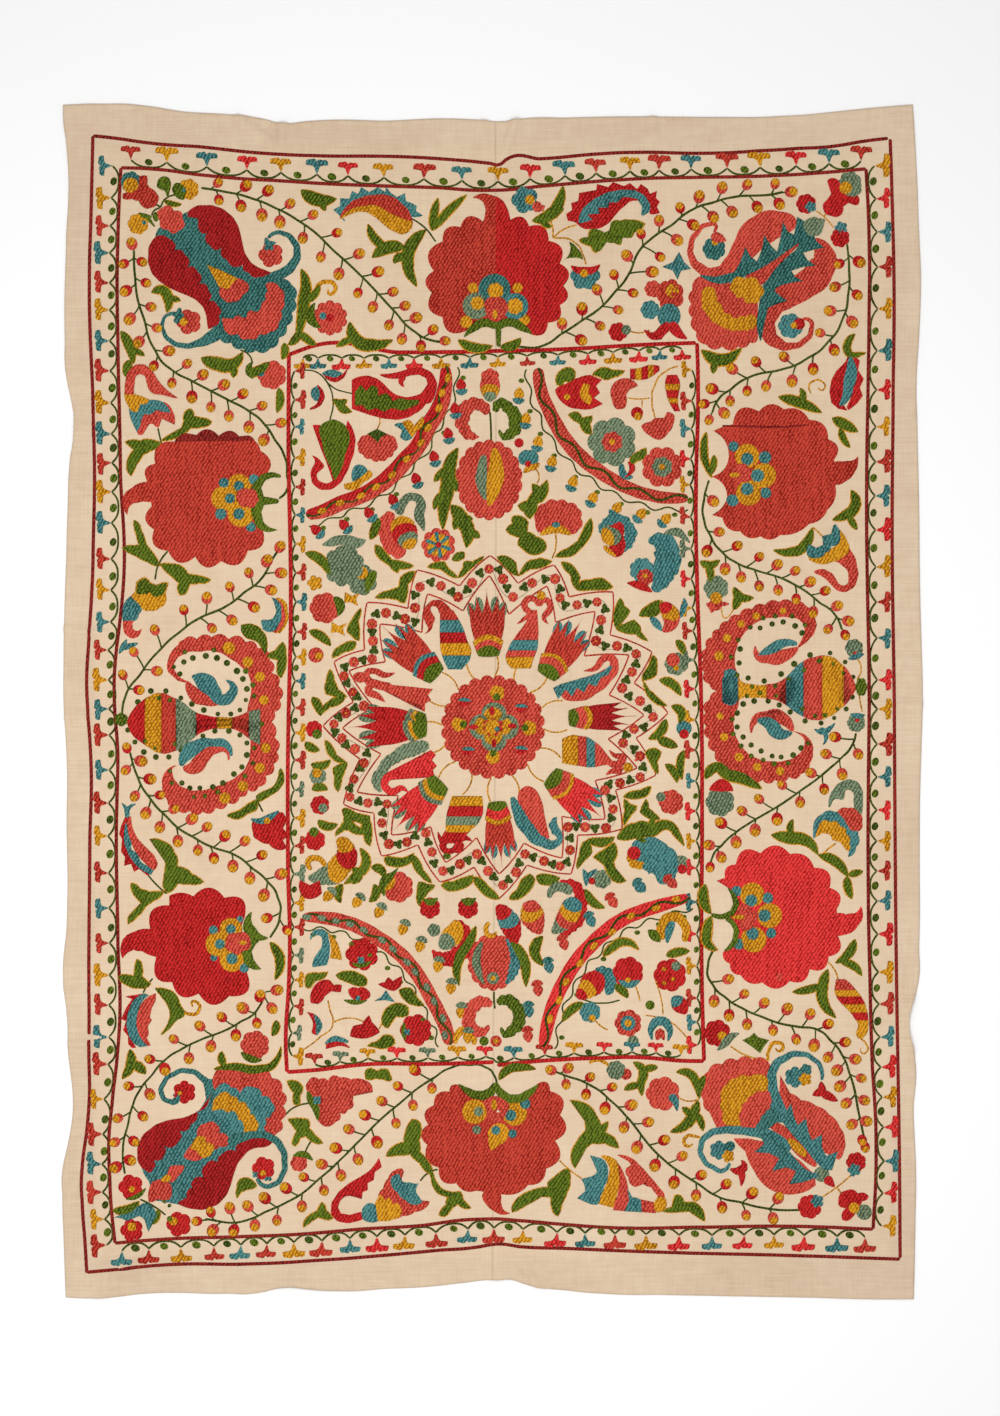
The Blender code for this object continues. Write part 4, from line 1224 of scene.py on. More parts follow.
def leftSide():
    lobes("rose", "132,412,0 150,404,0 165,402,.1 173,411,.1 175,425,0 169,418,-.15 163,417,0 159,428,.1 "
          "153,424,-.1 149,425,0 143,435,.1 138,435,0 134,424,0", 0, pole=(150, 413))
    lobes("blue", "129,409,0 140,401,.05 150,400,.05 160,401,.1 168,407,.05 171,413,0 163,412,-.1 "
          "157,410,0 152,414,.15 145,414,0 141,421,.1 137,432,0 133,424,.05", 1, pole=(145, 407))
    lobes("ochre", "124.5,392,0 133,393,-.05 141,396,0 150,400,0 147,404,.1 141,404,0 138,412,.15 "
          "131,411,0 126,402,.05", 2, pole=(134, 401))
    between("rose", "125,395 126,380 131,369 140,364.5 150,369 158,380 166,389 178,398",
            "134,395 135,383 138,375 143,375 147,384 151,392 162,395 176,398.5", 3)
    stem("158,428 162,446")
    lobed("125,442,.1 140,441,.1 152,440,.05 161,443,.1 153,450,0 143,455,.05 136,465,.05 131,476,.15 "
          "127,464,.1 134,450,0", (143, 448))
    lobed("161,441,.05 172,434,.05 182,429,.05 184,421,.1 185,412,.15 191,409,.15 194,416,0 202,418,.1 "
          "212,422,.15 203,427,.05 191,428,.05 180,436,.05 170,440,.05", (189, 424))
    leaves(4.4, "131,360 127,370 127,378")
    lobed("134,520,.15 141,530,.05 146,544,0 153,553,.05 160,566,.1 148,562,.05 136,556,.05 122,548,.1 "
          "134,546,.05 139,545,0 136,533,.05", (144, 549))
    lobed("160,564,.05 172,564,.1 184,568,.05 188,574,0 200,576,.05 211,580,.15 200,583,.05 190,584,0 "
          "187,592,.15 180,595,.15 179,583,0 170,575,.05", (184, 577))
    stem("168,551 160,562 155,580")
    lobes("ochre", "130,597,0 137,589,.05 150,590,.05 163,588,.1 167,600,.15 160,608,.15 150,611,.15 "
          "142,609,.1 136,604,0", 0, pole=(149, 600))
    lobes("blue", "131,596,0 137,602,.1 142,608,.15 139,614,.15 135,621,0 123,621,.05 123,607,.1", 1)
    between("rose", "123,619 123,628 127,636 136,638 143,627",
            "135,619.5 133,626 135,630 138,630.5 142,628", 0)
    lobed("136,593,0 137,583,.1 145,578,.1 150,583,0 157,586,.1 168,583,0 165,593,.1 158,597,.2 "
          "150,592,.2 143,594,.2", (150, 588), level=2)
    posies("blue,148.5,596,4.2")
    strips("blue", 0, "127,639,.6 123,647,3 119,654,.6", "122,648,2.6 130,646,3 138,643,.8")
    between("ochre", "275,597 284,600 288,611 287,624 280,634", "276,599 280,608 280,620 276,630 274,634", 0)
    between("rose", "274,598 281,602 285,612 284,624 276,633", "275,600 278,608 278,619 273,628 272,632", 1)
    between("blue", "271,597 279,602 281.5,612 279,624 270,632 262,629",
            "272,598 275,606 275,615 268,620 262,620 263,628", 2)
    blade("241,625 254,625 262,631 267,642 266,654", "241,631 247,638 256,641 262,649 265,655")
    lobed("283,642,.1 286,653,.05 286,666,.05 281,678,.15 277,668,0 278,660,0 267,657,.15 275,651,.05",
          (281, 660))
    blade("281,768 284,778 280,788 271,795 257,803", "279,770 277,781 271,788 262,792 256,796")
    blade("257,800 258,806 247,814 238,819 227,816", "258,799 249,803 241,809 234,812 228,814")
    stem("258,802 263,812")
    lobes("crimson", "253,820,0 262,824,.1 272,820,.2 282,812,.1 286,818,.1 283,828,0 288,834,.1 "
          "283,840,0 287,848,.1 278,850,.1 269,844,.1 258,840,.2 253,832,.1", 1, pole=(271, 832))
    strips("blue", 2, "251,819,1 260,821,3 268,818,3.4 279,811,1")
    bloom("ochre", 267, 820.5, 3.6, level=3)
    # two fish shaped paisleys
    between("crimson",
            "126,815,.01 121,826 119,834 122,839 121,852 125,857 124,866 131,864 134,872 139,869 149,877",
            "129,817 127,830 128,845 133,857 140,866 150,874", 0)
    between("rose", "127,818 128,830 132,844 138,855 146,864 152,870",
            "131,816 135,833 142,843 150,851 156,859 157,867 153,871", 1)
    between("blue", "126,822 124,836 127,850 133,861 142,870 151,875",
            "127,824 130,838 132,843 131,848 138,854 140,860 148,866 154,870", 2)
    strips("blue", 0, "127,818,2.4 127,811,2.8 122,803,.6", "127,812,2.4 131,806,2 136,804,.6")
    stem("148,875 158,886 167,894")
    lobed("150,839,.1 165,842,.15 174,852,.15 177,866,0 184,868,.1 192,874,.05 204,882,.1 190,884,.05 "
          "178,883,.1 168,893,.1 163,885,0 165,870,-.05 165,856,-.1 158,845,-.05", (172, 872))
    lobed("131,883,.15 140,889,.05 150,892,.05 164,892,.1 155,900,0 146,906,.05 137,917,.05 128,924,.15 "
          "132,913,.05 142,904,0 135,896,.1", (146, 898))
    lobed("137,959,.2 142,966,.1 142,976,0 151,984,.15 140,988,.1 127,985,.1 118,977,.15 128,975,.05 "
          "134,976,0 135,968,.05", (138, 980))
    stem("153,978 147,986 143,993")
    between("crimson", "124,996,.01 132,999 126,1008 121,1019 126,1021 123,1030 128,1036 128,1044 133,1049",
            "144,993 136,999 131,1008 129,1020 130,1032 133,1041 137,1048", 0)
    between("rose", "149,996 142,1003 138,1012 136,1022 138,1034 143,1042 149,1046",
            "156,993,.01 156,1000 152,1008 150,1017 152,1020 148,1026 149,1034 147,1038 151,1045", 1)
    between("blue", "144,993 135,999 130,1008 127,1020 128,1032 132,1041 140,1047",
            "149,995 142,1002 139,1010 137,1020 138,1030 143,1040 148,1046", 2)
    blade("155,988 166,989 176,995 180,1004 184,1016 177,1020 171,1027 161,1035",
          "156,990 162,997 168,1006 170,1012 169,1020 166,1027 161,1034")
    ribbon("ochre", "182,1010,1.6 190,1014,2 199,1010,2 198,1003,1.8 192,1002,1.6 193,1007,1", 0)
    leaves(5, "130,1049 131,1063 122,1079", "131,1063 139,1067 146,1074")
    posies("rose,255,1045,15")
    strips("leaf", 1, "241,1052,1 250,1058,4 262,1060,1")
    leaves(4, "276,1020 276,1028 272,1036", "225,1066 222,1060 222,1051")
    leaf("214,1069 235,1067 260,1069 275,1062 281,1046", 4.6)


def medallions():
    between("rose", "190,684 178,681 168,672,.1 168,660,.1 178,645,.2 183,640,.25 197,639,.25 212,637,.25 "
            "229,639,.3 246,642,.3 258,648,.3 270,660,.3 272,673,.3 279,686,.3 280,700,.3 275,712,.2 "
            "272,722,.2 275,738,.3 277,752,.3 274,764,.3 266,776,.3 259,787,.3 248,790,.3 240,797,.3 "
            "228,803,.3 216,808,.3 203,812,.3 190,811,.3 176,807,.3 167,800,.1 162,785,.1 165,772,.1 "
            "176,765", "190,681.5 183,679 177,673 174,667 176,661 183,655 200,652 216,652 230,659 241,667 "
            "250,680 251,690 249,701 247,712 248,724 250,738 250,750 247,764 238,775 226,782 213,787 "
            "199,790 186,788 177,782 173,774 173,768 178,766", 0)
    dots("ochre",
         "229,648,6.4 248,662,5.6 260,677,5.4 264,700,5 266,748,5.2 260,768,5.4 243,786,5.4 225,798,6", 1)
    slices("crimson:145 ochre:161 madder:176 sage:196 crimson:217 ochre:232 madder:249 sage:260",
           "127,722 133,710 141,702 150,696 160,693 172,697 184,703 194,711 206,715 222,717 238,716 "
           "250,711 262,709", "127,722 132,734 141,742 150,748 160,753 172,752 184,746 194,738 206,731 "
           "222,729 238,731 248,738 262,746")
    bloom("leaf", 121.5, 719.5, 7, petals=6, level=1)
    tiers("192,676,1 203,681,8.6 212,690,8 220,699,5", "blue:1", 1)
    ribbon("blue", "210,694,3 222,700,5.4 231,695,5 233,686,3.4 226,680,.6", 2)
    ribbon("rose", "187,682,2 193,692,6 206,700,5.6 222,703,1.6", 1)
    ribbon("blue", "181,766,2 186,755,6.4 197,747,7 213,743.5,4.6 226,746,4.6 232,756,1", 1)
    ribbon("rose", "183,768,2 193,768,6.4 203,758,6.4 217,750,3.4 227,752,1.6 229,760,1", 2)
    # the right one faces it
    between("rose", "797,649 806,643 814,634 817,625 814,614,.1 806,606,.25 793,603,.25 779,602,.25 "
            "765,605,.25 752,609,.25 739,615,.25 728,621,.25 719,629,.3 712,637,.3 706,648,.3 703,660,.3 "
            "704,672,.3 709,684,.2 717,691,.2 709,700,.3 705,713,.3 706,726,.3 709,739,.3 715,752,.3 "
            "722,763,.3 735,771,.3 748,778,.3 762,780,.3 775,780,.3 789,777,.3 801,774,.2 810,763,.1 "
            "813,752,.1 811,741,.05 804,734 794,731", "797,647 802,638 804,628 800,621 790,618 775,618 "
            "760,621 750,628 742,637 737,648 735,660 737,672 740,681 738,691 739,703 735,715 734,727 "
            "738,740 745,750 757,758 772,761 786,760 797,755 803,747 804,740 800,735 792,731.5", 0)
    dots("ochre", "783,611,3.8 756,616,4.2 741,624,4.2 727,638,4.6 719,656,5 720,716,4 724,737,4.6 "
         "739,757,4.8 757,767,4.6 780,771,4.6", 1)
    slices("blue:738 ochre:766 rose:786 blue:803 rose:822 ochre:843 rose:855",
           "722,671 734,669 740,680 752,684 768,684 782,680 792,671 802,662 815,657 828,656 840,663 "
           "850,674 856,687", "722,703 734,705 740,699 752,698 768,699 782,703 792,710 802,716 815,720 "
           "828,717 840,709 850,699 856,689")
    bloom("leaf", 861, 687, 9.5, petals=6, level=1, tall=0.65, tilt=90)
    ribbon("rose", "798,648,1.6 785,655,6 768,658,5.4 757,655,3.4 755,646,.6", 1)
    ribbon("blue", "797,644,2 784,643,4 772,649,5 758,655,.6", 2)
    ribbon("rose", "751,733,.8 753,723,3 767,716,5 783,719,6 793,731,2", 1)
    ribbon("blue", "757,720,2 770,724,6.4 778,733,6.4 792,733,1.6", 2)
    dots("vine", "184,662,2.8 193,658,3 206,656,3.2 217,658,3.2 227,663,3.2 237,671,3.4 243,679,3 "
         "247,689,3 182,783,2.8 190,788,2.8 200,788,2.6 213,787,3 223,783,3 234,774,3 242,767,2.8 "
         "247,755,3.2 247,743,2.6 240,735,2.6 180,674,2.8 138,702,3 148,701,2.4 151,691,3 166,691,2.8 "
         "181,698,2.6 192,704,3 204,710,3 218,714,2.4 231,714,2.6 240,710,2.4 128,730,2.8 135,742,2.6 "
         "144,752,3 156,757,3 169,757,2.8 181,750,2.8 192,744,2.8 203,736,2.6 215,731,2.8 229,731,3")
    dots("leaf", "185,652,2.4 214,650,2.6 246,671,3 253,685,2.8 254,696,2.6 246,700,2.2 254,748,2.4 "
         "253,763,2.4 245,776,2.6 205,796,2.4 218,792,2.6 194,797,2.2 172,783,2.4 170,771,2.2 174,667,2.2 "
         "159,698,2.6 170,700,2.4 145,741,2.4 175,744,2.4 155,748,2.2 222,722,2.4 262,724,2.6", 3)
    dots("vine", "750,627,2.8 760,628,2.6 772,624,2.8 783,622,2.8 795,626,3 802,633,3 740,649,3 "
         "739,663,2.8 748,678,2.8 764,681,2.8 781,674,3 794,664,3.2 743,704,3 754,701,3 768,701,2.8 "
         "779,705,2.8 790,712,2.8 737,713,3 737,727,2.8 743,737,2.8 751,745,2.8 761,751,2.8 772,756,2.6 "
         "781,757,2.6 793,755,3 801,748,3 810,655,3 830,653,2.4 845,662,2.4 853,677,2.4 852,697,2.8 "
         "805,721,2.8 821,723,2.6 834,718,2.2 846,709,2.6")
    dots("leaf", "763,618,2.6 775,616,2.6 792,616,2.6 805,625,2.4 738,640,2.4 731,657,2.6 737,675,2.4 "
         "789,679,2.8 732,719,2.6 733,734,2.6 741,746,2.6 751,756,2.6 763,760,2.4 774,764,2.8 788,763,2.6 "
         "808,743,2.4 819,661,2.8 833,664,2.4 843,673,2.2 802,709,2.6 815,716,2.4 825,715,2.6 837,709,2.4 "
         "752,687,2.6 760,693,2.8 747,696,2.4 775,686,2.4 776,696,2.2 804,670,2.4", 3)


def rightSide():
    leaf("778,397 800,403 822,413", 5.4)
    leaves(3.4, "800,404 803,396 800,388", "840,428 843,438 850,448")
    leaf("832,418 845,425 858,432", 5.4)
    leaf("851,490 855,505 845,515 832,520", 5.6)
    leaves(3.4, "848,515 852,522 857,530", "714,455 713,466 709,476")
    leaf("706,432 704,450 707,466 712,478", 4)
    between("rose", "842,541 852,552 857,566 857,580 850,590 841,592 832,586 824,578 813,573",
            "830,560 842,566 848,577 845,585 839,584 835,577 828,571 820,569 814,571", 0)
    between("ochre", "840,530 847,541 849,550 843,557 832,562 820,564 809,560",
            "838,530 840,540 834,547 826,551 818,557 808,557", 1)
    between("blue", "835,524,.01 840,531 840,541,.2 831,546,.2 825,553,.2 816,558,.2 807,555",
            "833,526,.01 831,534 822,536 823,545 816,548 809,544 806,548", 2)
    stem("826,542 819,533 812,527", 1.2, "ochre")
    leaf("812,528 806,543 790,552 773,550", 5)
    leaves(4, "700,561 708,565 720,560", "707,563 710,572 710,583")
    posies("sage,716,588,13 ochre,716,598,6", "rose,716,604,7")
    strips("rose", 1, "706,604,1 712,607,4 711,613,.6", "722,604,3 729,604,.6")
    stem("721,608 725,618 731,613 735,606", 1.1, "ochre")
    leaves(4.4, "734,587 738,595 754,598", "737,592 737,601 733,610")
    posies("sage,854,648,9.6", "sage,856,723,9.6", "blue,822,731,4")
    strips("blue", 1, "848,659,.6 854,657,3 864,654,.6", "850,714,.6 857,716,3 865,715,.6")
    posies("crimson,855,654,3.4", "crimson,857,720,3.4")
    stem("857,658 861,668 857,680", 1.1, "ochre")
    stem("859,692 860,702 862,712", 1.1, "ochre")
    strips("blue", 0, "814,729,.6 822,732,3 830,728,2.4 835,723,.6", "824,731,3 826,738,2.4 823,745,.6")
    leaf("705,779 714,768 729,768", 5)
    leaf("716,762 722,770 742,778 762,789", 6.4)
    posies("sage,720,802,15", "ochre,721,791,5")
    strips("crimson", 1, "709,790,.6 716,787,5 727,787,5 733,791,.6")
    between("sage", "828,808 829,798 834,788 843,781 853,780 861,787 863,799 862,815",
            "830,808 836,799 843,800 846,790 852,792 853,802 855,812", 0)
    lobes("rose", "837,812,.2 848,808,.2 858,812,.2 862,822,.2 859,831,.1 850,830,0 843,818,0", 1,
          pole=(850, 819))
    between("blue", "813,838,.01 813,826,.15 822,814,.2 835,812,.2 845,817,.2 853,826,.2 858,835,.2 "
            "856,847,.2 848,857", "815,838 819,829 830,823 841,828 847,838 849,848 848,856", 1)
    between("ochre", "815,837,.01 819,824,.3 830,822,.3 840,826,.3 846,834,.3 849,843,.2 849,851",
            "816,837 822,833 829,834,-.1 832,840 840,842 846,850", 2)
    stem("836,843 828,849 820,856", 1.2, "ochre")
    leaf("771,835 790,838 808,842 818,855", 6.2)
    leaves(3.4, "793,838 790,828 793,819", "848,875 856,873 863,871")
    leaf("818,855 836,862 848,877", 5)
    leaf("847,876 848,888 852,899", 4.4)
    leaf("855,939 848,954 835,963", 4.6)
    leaves(4, "840,962 852,965 862,976", "822,985 806,990 792,992")
    leaf("828,969 823,985 823,1000 836,1018", 5.6)
    stem("828,962 834,969 838,979", 1.2, "ochre")
    slices("rose:990 ochre:996 crimson:1004 ochre:1012 crimson:1020 ochre:1038",
           "836,979 835,985 836,996 840,1002 848,1010 854,1018 858,1026 856,1034 858,1038",
           "845,979 852,985 856,990 862,998 866,1008 868,1018 868,1026 866,1034 862,1038", axis=1)
    strips("ochre", 0, "860,1038,1.4 866,1044,1.4 867,1051,1.4 862,1053,1.2 860,1048,.8")
    # beside the palmette of the top right
    leaf("855,334 848,343 848,352 866,353", 4)
    leaf("701,350 720,360 742,348", 6.4)
    leaves(3.6, "716,358 714,366 713,374")
    between("crimson", "850,352,.01 845,362 836,371 831,380 829,392 831,403 838,409 848,411",
            "851,352 849,364 846,376 844,390 843,402 848,411", 0)
    between("crimson", "851,353,.01 860,361 858,370 864,379 860,388 863,396 857,404 848,411",
            "850,354 855,366 854,380 852,392 846,408", 0)
    between("blue", "849,355 846,368 843,382 842,395 838,406",
            "851,355,.01 855,364,.1 857,376,.1 853,387,.1 850,398,.1 840,407", 1)
    ribbon("ochre", "811,394,1.2 809,386,1.4 814,381,1.5 822,382,1.5 825,387,1.4 820,390,1.2 818,387,.8", 0)


def bottomMiddle():
    leaf("499,1080 506,1071 520,1067 536,1069", 4.6)
    lobed("412,1119,.1 420,1122,.1 419,1140,.05 420,1152,.05 432,1168,0 432,1175,.1 420,1163,.05 "
          "410,1154,.05 397,1155,.05 386,1156,.1 395,1145,.05 404,1142,.05 406,1130,.05", (413, 1147))
    blade("424,1160 432,1170 438,1184 448,1191 460,1191", "423,1163 430,1174 434,1188 445,1196 456,1198")
    lobed("452,1196,0 460,1191,.1 463,1199,0 471,1208,.15 458,1204,0 453,1207,0 447,1215,.2 439,1215,.1 "
          "446,1205,.05 447,1198,0", (454, 1200))
    stem("438,1169 428,1173 420,1181")
    # two birds with barbed tails
    between("crimson", "379,1157 374,1165 364,1174 354,1180 344,1187 335,1197 331,1208 334,1218 "
            "343,1222.5 354,1222 364,1219", "379,1157,.01 382,1167 375,1172 374,1180 368,1183 368,1190 "
            "363,1192 362,1199 356,1194 348,1194 341,1199 338,1207 341,1213 350,1214.5 362,1211", 0)
    lobes("rose", "378,1195,.1 383,1188,.1 388,1178,.1 394,1170,.1 402,1168,.1 404,1171,0 399,1176,0 "
          "401,1185,0 414,1200,0 421,1203,0 430,1201,.1 428,1206,.1 415,1212,.1 403,1216,.1 390,1219,0 "
          "380,1208,0", 0, pole=(396, 1198))
    lobes("ochre", "375,1203,0 380,1194,.1 385,1200,0 389,1197,.1 393,1204,0 397,1202,.1 402,1210,.1 "
          "400,1217,0 388,1221,0 375,1221,0", 1, pole=(387, 1211))
    lobes("blue", "362,1210,.1 368,1203,.1 376,1205,0 378,1221,.1 370,1222,.1 363,1219,.1", 2)
    lobes("blue", "391,1177,.1 399,1173,0 402,1181,-.1 410,1182,-.1 419,1183,-.1 416,1192,0 423,1202,.1 "
          "415,1205,.1 405,1200,.1 397,1192,.1 391,1185,.1", 1, pole=(406, 1190))
    between("rose", "617,1154 630,1157 640,1165 650,1176 659,1187 665,1197 664,1204",
            "617,1155,.01 628,1161 632,1166 626,1168,.2 628,1177,.2 635,1187,.1 642,1183,.1 651,1187,.05 "
            "657,1195,.05 659,1203", 0)
    between("ochre", "600,1155 612,1157 619,1165 621,1178 618,1192 614,1209",
            "600,1156 607,1163 608,1176 604,1188 597,1204", 0)
    lobes("blue", "590,1155,0 597,1157,.1 605,1161,.1 608,1174,.1 604,1186,.1 600,1196,.1 598,1204,.1 "
          "588,1203,0 577,1198,0 585,1191,-.1 581,1179,0 592,1176,-.15 598,1167,-.15 593,1160,0", 1,
          pole=(601, 1180))
    lobes("rose", "618,1163,.05 624,1174,.05 628,1188,.05 629,1200,.05 626,1211,0 613,1210,0 615,1200,-.1 "
          "618,1192,0 620,1178,0", 1, pole=(621, 1196))
    lobes("blue", "627,1187,0 632,1197,.1 641,1200,0 642,1212,0 624,1211,0 629,1200,0", 2, pole=(632, 1204))
    lobes("rose", "640,1199,0 650,1201,.1 657,1205,0 656,1213,0 641,1212,0", 1)
    lobes("ochre", "654,1202,.1 660,1196,.1 666,1199,.1 666,1207,.1 660,1212,.1 655,1211,.1", 2)
    lobed("570,1100,.05 585,1103,.1 596,1115,.05 601,1125,0 608,1121,.1 605,1132,0 614,1137,.05 "
          "619,1148,.05 605,1143,.05 592,1143,0 583,1150,0 575,1168,.1 571,1158,.1 576,1143,.05 "
          "586,1130,.05 586,1115,.05 577,1106,.05", (594, 1134))
    lobed("512,1212,.1 513,1204,.1 530,1191,.05 548,1187,.05 548,1182,0 560,1172,.05 568,1168,.1 "
          "570,1180,.1 567,1192,.05 562,1203,.05 558,1216,.15 552,1208,.05 551,1197,0 540,1196,.05 "
          "525,1205,.05", (554, 1189))
    stem("559,1160 570,1170 584,1180", 1.2, "ochre")
    ribbon("ochre", "589,1063,1.6 596,1060,2 604,1062,2 611,1068,1", 0)
    posies("sage,616,1070,10", "rose,626,1074,6")
    # left of them
    lobed("287,1081,.1 297,1081,.1 303,1087,.1 300,1095,0 300,1104,.15 294,1104,.1 294,1093,.05", (298, 1092))
    lobed("288,1119,.05 308,1119,.15 309,1128,.05 315,1135,.05 323,1143,.1 315,1143,.05 306,1136,0 "
          "300,1138,.1 295,1146,.15 292,1143,.05 297,1131,.05 292,1124,.05", (302, 1130))
    lobes("rose", "307,1091,.2 308,1081,.3 319,1079,.2 328,1080,.3 340,1077,.1 351,1079,.1 366,1080,.2 "
          "373,1092,0 359,1088,-.1 348,1091,.3 353,1100,.3 348,1110,.3 340,1113,.3 336,1122,.3 "
          "318,1121,.1 320,1108,0 312,1098,0", 0, pole=(333, 1100))
    between("leaf", "309,1090 314,1098 319,1106 319,1120", "307,1091 307,1100 311,1107 317,1120", 1)
    bloom("blue", 317, 1100, 5, petals=4, depth=0.4, level=2)
    stem("283,1117 297,1106 309,1103")
    lobed("366,1070,.1 371,1068,0 377,1071,.1 387,1069,.1 390,1074,.05 392,1080,.15 384,1079,.05 "
          "376,1078,.1 366,1079,.1", (378, 1074))
    posies("rose,299,1163,9")
    strips("leaf", 1, "293,1156,.8 302,1154,3.4 313,1160,.8")
    stem("312,1140 308,1146 305,1153")
    lobed("317,1211,.05 322,1202,.15 326,1210,.05 333,1218,.15 325,1219,0 318,1217,0 310,1222,.05 "
          "303,1227,.1 307,1217,.05", (320, 1214))
    lobed("240,1179,.1 249,1178,.1 257,1186,.1 248,1189,0 241,1192,0 237,1198,.1 237,1188,.1", (245, 1185))
    # right of them
    posies("rose,662.8,1093.5,17.5 blue,673,1098,5")
    strips("blue", 1, "673,1096,5 676,1104,3 677,1111,.6")
    stem("679,1098 690,1101 698.7,1099", 1.2, "ochre")
    leaf("676,1072 688,1073 696,1083 699,1099", 4.4)
    leaf("698,1100 694,1112 686,1124 670,1132", 5.4)
    leaves(3.6, "705,1075 701,1085 699,1095", "695,1112 700,1120 703,1131", "692,1116 687,1111 682,1107")
    leaf("633,1062 643,1071 641,1083 642,1096", 4.6)
    leaves(3.6, "643,1070 650,1068 658,1067", "640,1085 632,1086 624,1090")
    lobed("662,1211,.05 672,1207,.05 675,1195,.1 680,1195,.1 684,1202,0 695,1202,.05 703,1210,.05 "
          "705,1221,.1 699,1217,.05 690,1211,0 676,1212,.05", (682, 1206))
    posies("crimson,717,1033,14 ochre,722,1036,5")
    strips("sage", 2, "739,1033,.6 729,1038,4 722,1046,3 717,1050,.6")
    stem("730,1046 748,1056 768,1060", 1.2, "ochre")
    lobes("leaf",
          "742,1040,0 749,1037,0 754,1032.6,0 758,1037,0 769,1040,0 764,1046,0 760,1053,0 751,1046,0", 1)
    ribbon("ochre", "768,1061,1.6 769,1050,2 777,1042.5,2.2 783,1046,2 779,1051,1.6 775,1048,.8", 0)
    ribbon("ochre", "702,1138.5,1.2 694,1136,1.8 686,1137,2 684,1142,2 689,1146,1.6 693,1143.5,.8", 0)


# The star at the middle: two lines, charted at their points and valleys, and a chain of flowers between

starOuter = ("490,555.5 518,583.5 554,565 569,597 613,592 610,635 652,652 634,683 668,713 636,738 656,775 "
             "615.5,790 622,829 577.5,835 571,874 527,865 498.5,899 474,867 440,882 418,844.7 381.5,856 "
             "374,813 343.5,804 360,759 323,726 353.5,702 334,662 364.6,650 367,602.5 408,608.5 417,570 "
             "459.5,586")
starInner = ("489.5,575.5 509,614.5 547,586 555.5,622.5 595,611.5 584,656 629,655 609,695 644,715 608,739 "
             "637,768 595,780.5 605,819 561.7,816.3 562,858 524,843 499,874 476.7,837.5 445.8,862.5 "
             "430.8,826.7 391.5,835 398.3,795.3 357,792 381,754 342.5,728 374.4,707.6 349,671 385.4,662 "
             "380,624 422,632.5 427.5,594 463,611")


starFlowers = ("489,569 472,583 458,597 441,586 420,587 415,608 405,619 386,613 372,624 373,641 372,659 "
               "354,662 344,676 353,692 364,706 346,713 334,724 342,738 355,749 364,763 354,779 350,797 "
               "368,803 387,804 382,823 389,844 407,842 426,833 432,852 443,871 460,864 477,854 488,871 "
               "503,885 516,872 525,854 544,861 560,866 570,850 568,827 585,827 606,828 613,809 605,790 "
               "620,783 640,777 640,756 623,743 634,729 653,717 640,701 622,688 632,672 636,654 617,646 "
               "596,641 601,620 597,602 577,605 560,598 555,579 532,583 513,597 503,579")
starSprigs = ("480,573 467,590 452,592 431,582 415,595 415,622 397,616 376,614 372,632 374,650 363,660 "
              "345,667 347,683 357,697 355,708 339,717 335,732 346,745 367,753 360,768 350,788 359,801 "
              "378,802 383,813 384,835 398,844 415,836 428,842 434,863 451,870 468,860 482,861 494,877 "
              "508,880 519,863 533,857 552,864 567,862 570,838 576,826 595,828 611,818 611,798 609,784 "
              "630,780 643,767 634,749 626,735 644,727 648,709 629,696 626,680 636,664 627,648 605,646 "
              "600,630 605,609 587,603 565,605 560,589 545,579 524,587 507,588 499,570")


starLook = {
    "middle": (493, 727), "lineMiddle": (494, 727),
    "lineBow": 2.2, "lineHalf": 1.2,    # of each side of the two lines
    "flower": 5.2, "sprig": 5.4,        # radii in the chain
    "rays": 16, "rayNear": 50.0, "rayFar": 75.0, "rayHalf": 1.2, "rayBend": 0.05,
}


def starLines():
    outer, inner = marksOf(starOuter), marksOf(starInner)
    centre = np.array(starLook["lineMiddle"])
    for line in (outer, inner):
        for start, end in zip(line, np.roll(line, -1, axis=0)):
            middle = (start + end) / 2
            bow = (middle - centre) / np.linalg.norm(middle - centre) * starLook["lineBow"]
            t = np.linspace(0, 1, 5)[:, None]
            side = start + (end - start) * t + bow * 4 * t * (1 - t)
            ribbon("madder", np.column_stack((side, np.full(5, starLook["lineHalf"]))), 0)
    # the chain between them: a flower and a three-lobed leaf in turn
    places = np.vstack(((outer + inner) / 2, (outer + inner)[:1] / 2))
    stem(" ".join("%.1f,%.1f" % tuple(place) for place in places), 0.4, "vine")
    for x, y in marksOf(starFlowers, 0.0)[:, :2]:
        thread = "madder" if draws.uniform() < 0.35 else "rose"
        size = starLook["flower"] * draws.uniform(0.92, 1.08)
        bloom(thread, x, y, size, petals=7, depth=0.12, level=1, fine=2.6)
        bloom("ochre", x, y, 1.2, level=2)
    for x, y in marksOf(starSprigs, 0.0)[:, :2]:
        lean = np.radians(draws.uniform(0, 360))
        for turn in (0, 125, 235):
            angle = lean + np.radians(turn)
            outX, outY = np.cos(angle) * starLook["sprig"], np.sin(angle) * starLook["sprig"]
            marks = (x, y, 1.8), (x + outX * 0.55, y + outY * 0.55, 2.5), (x + outX, y + outY, 0.7)
            ribbon("vine", np.array(marks), 1)


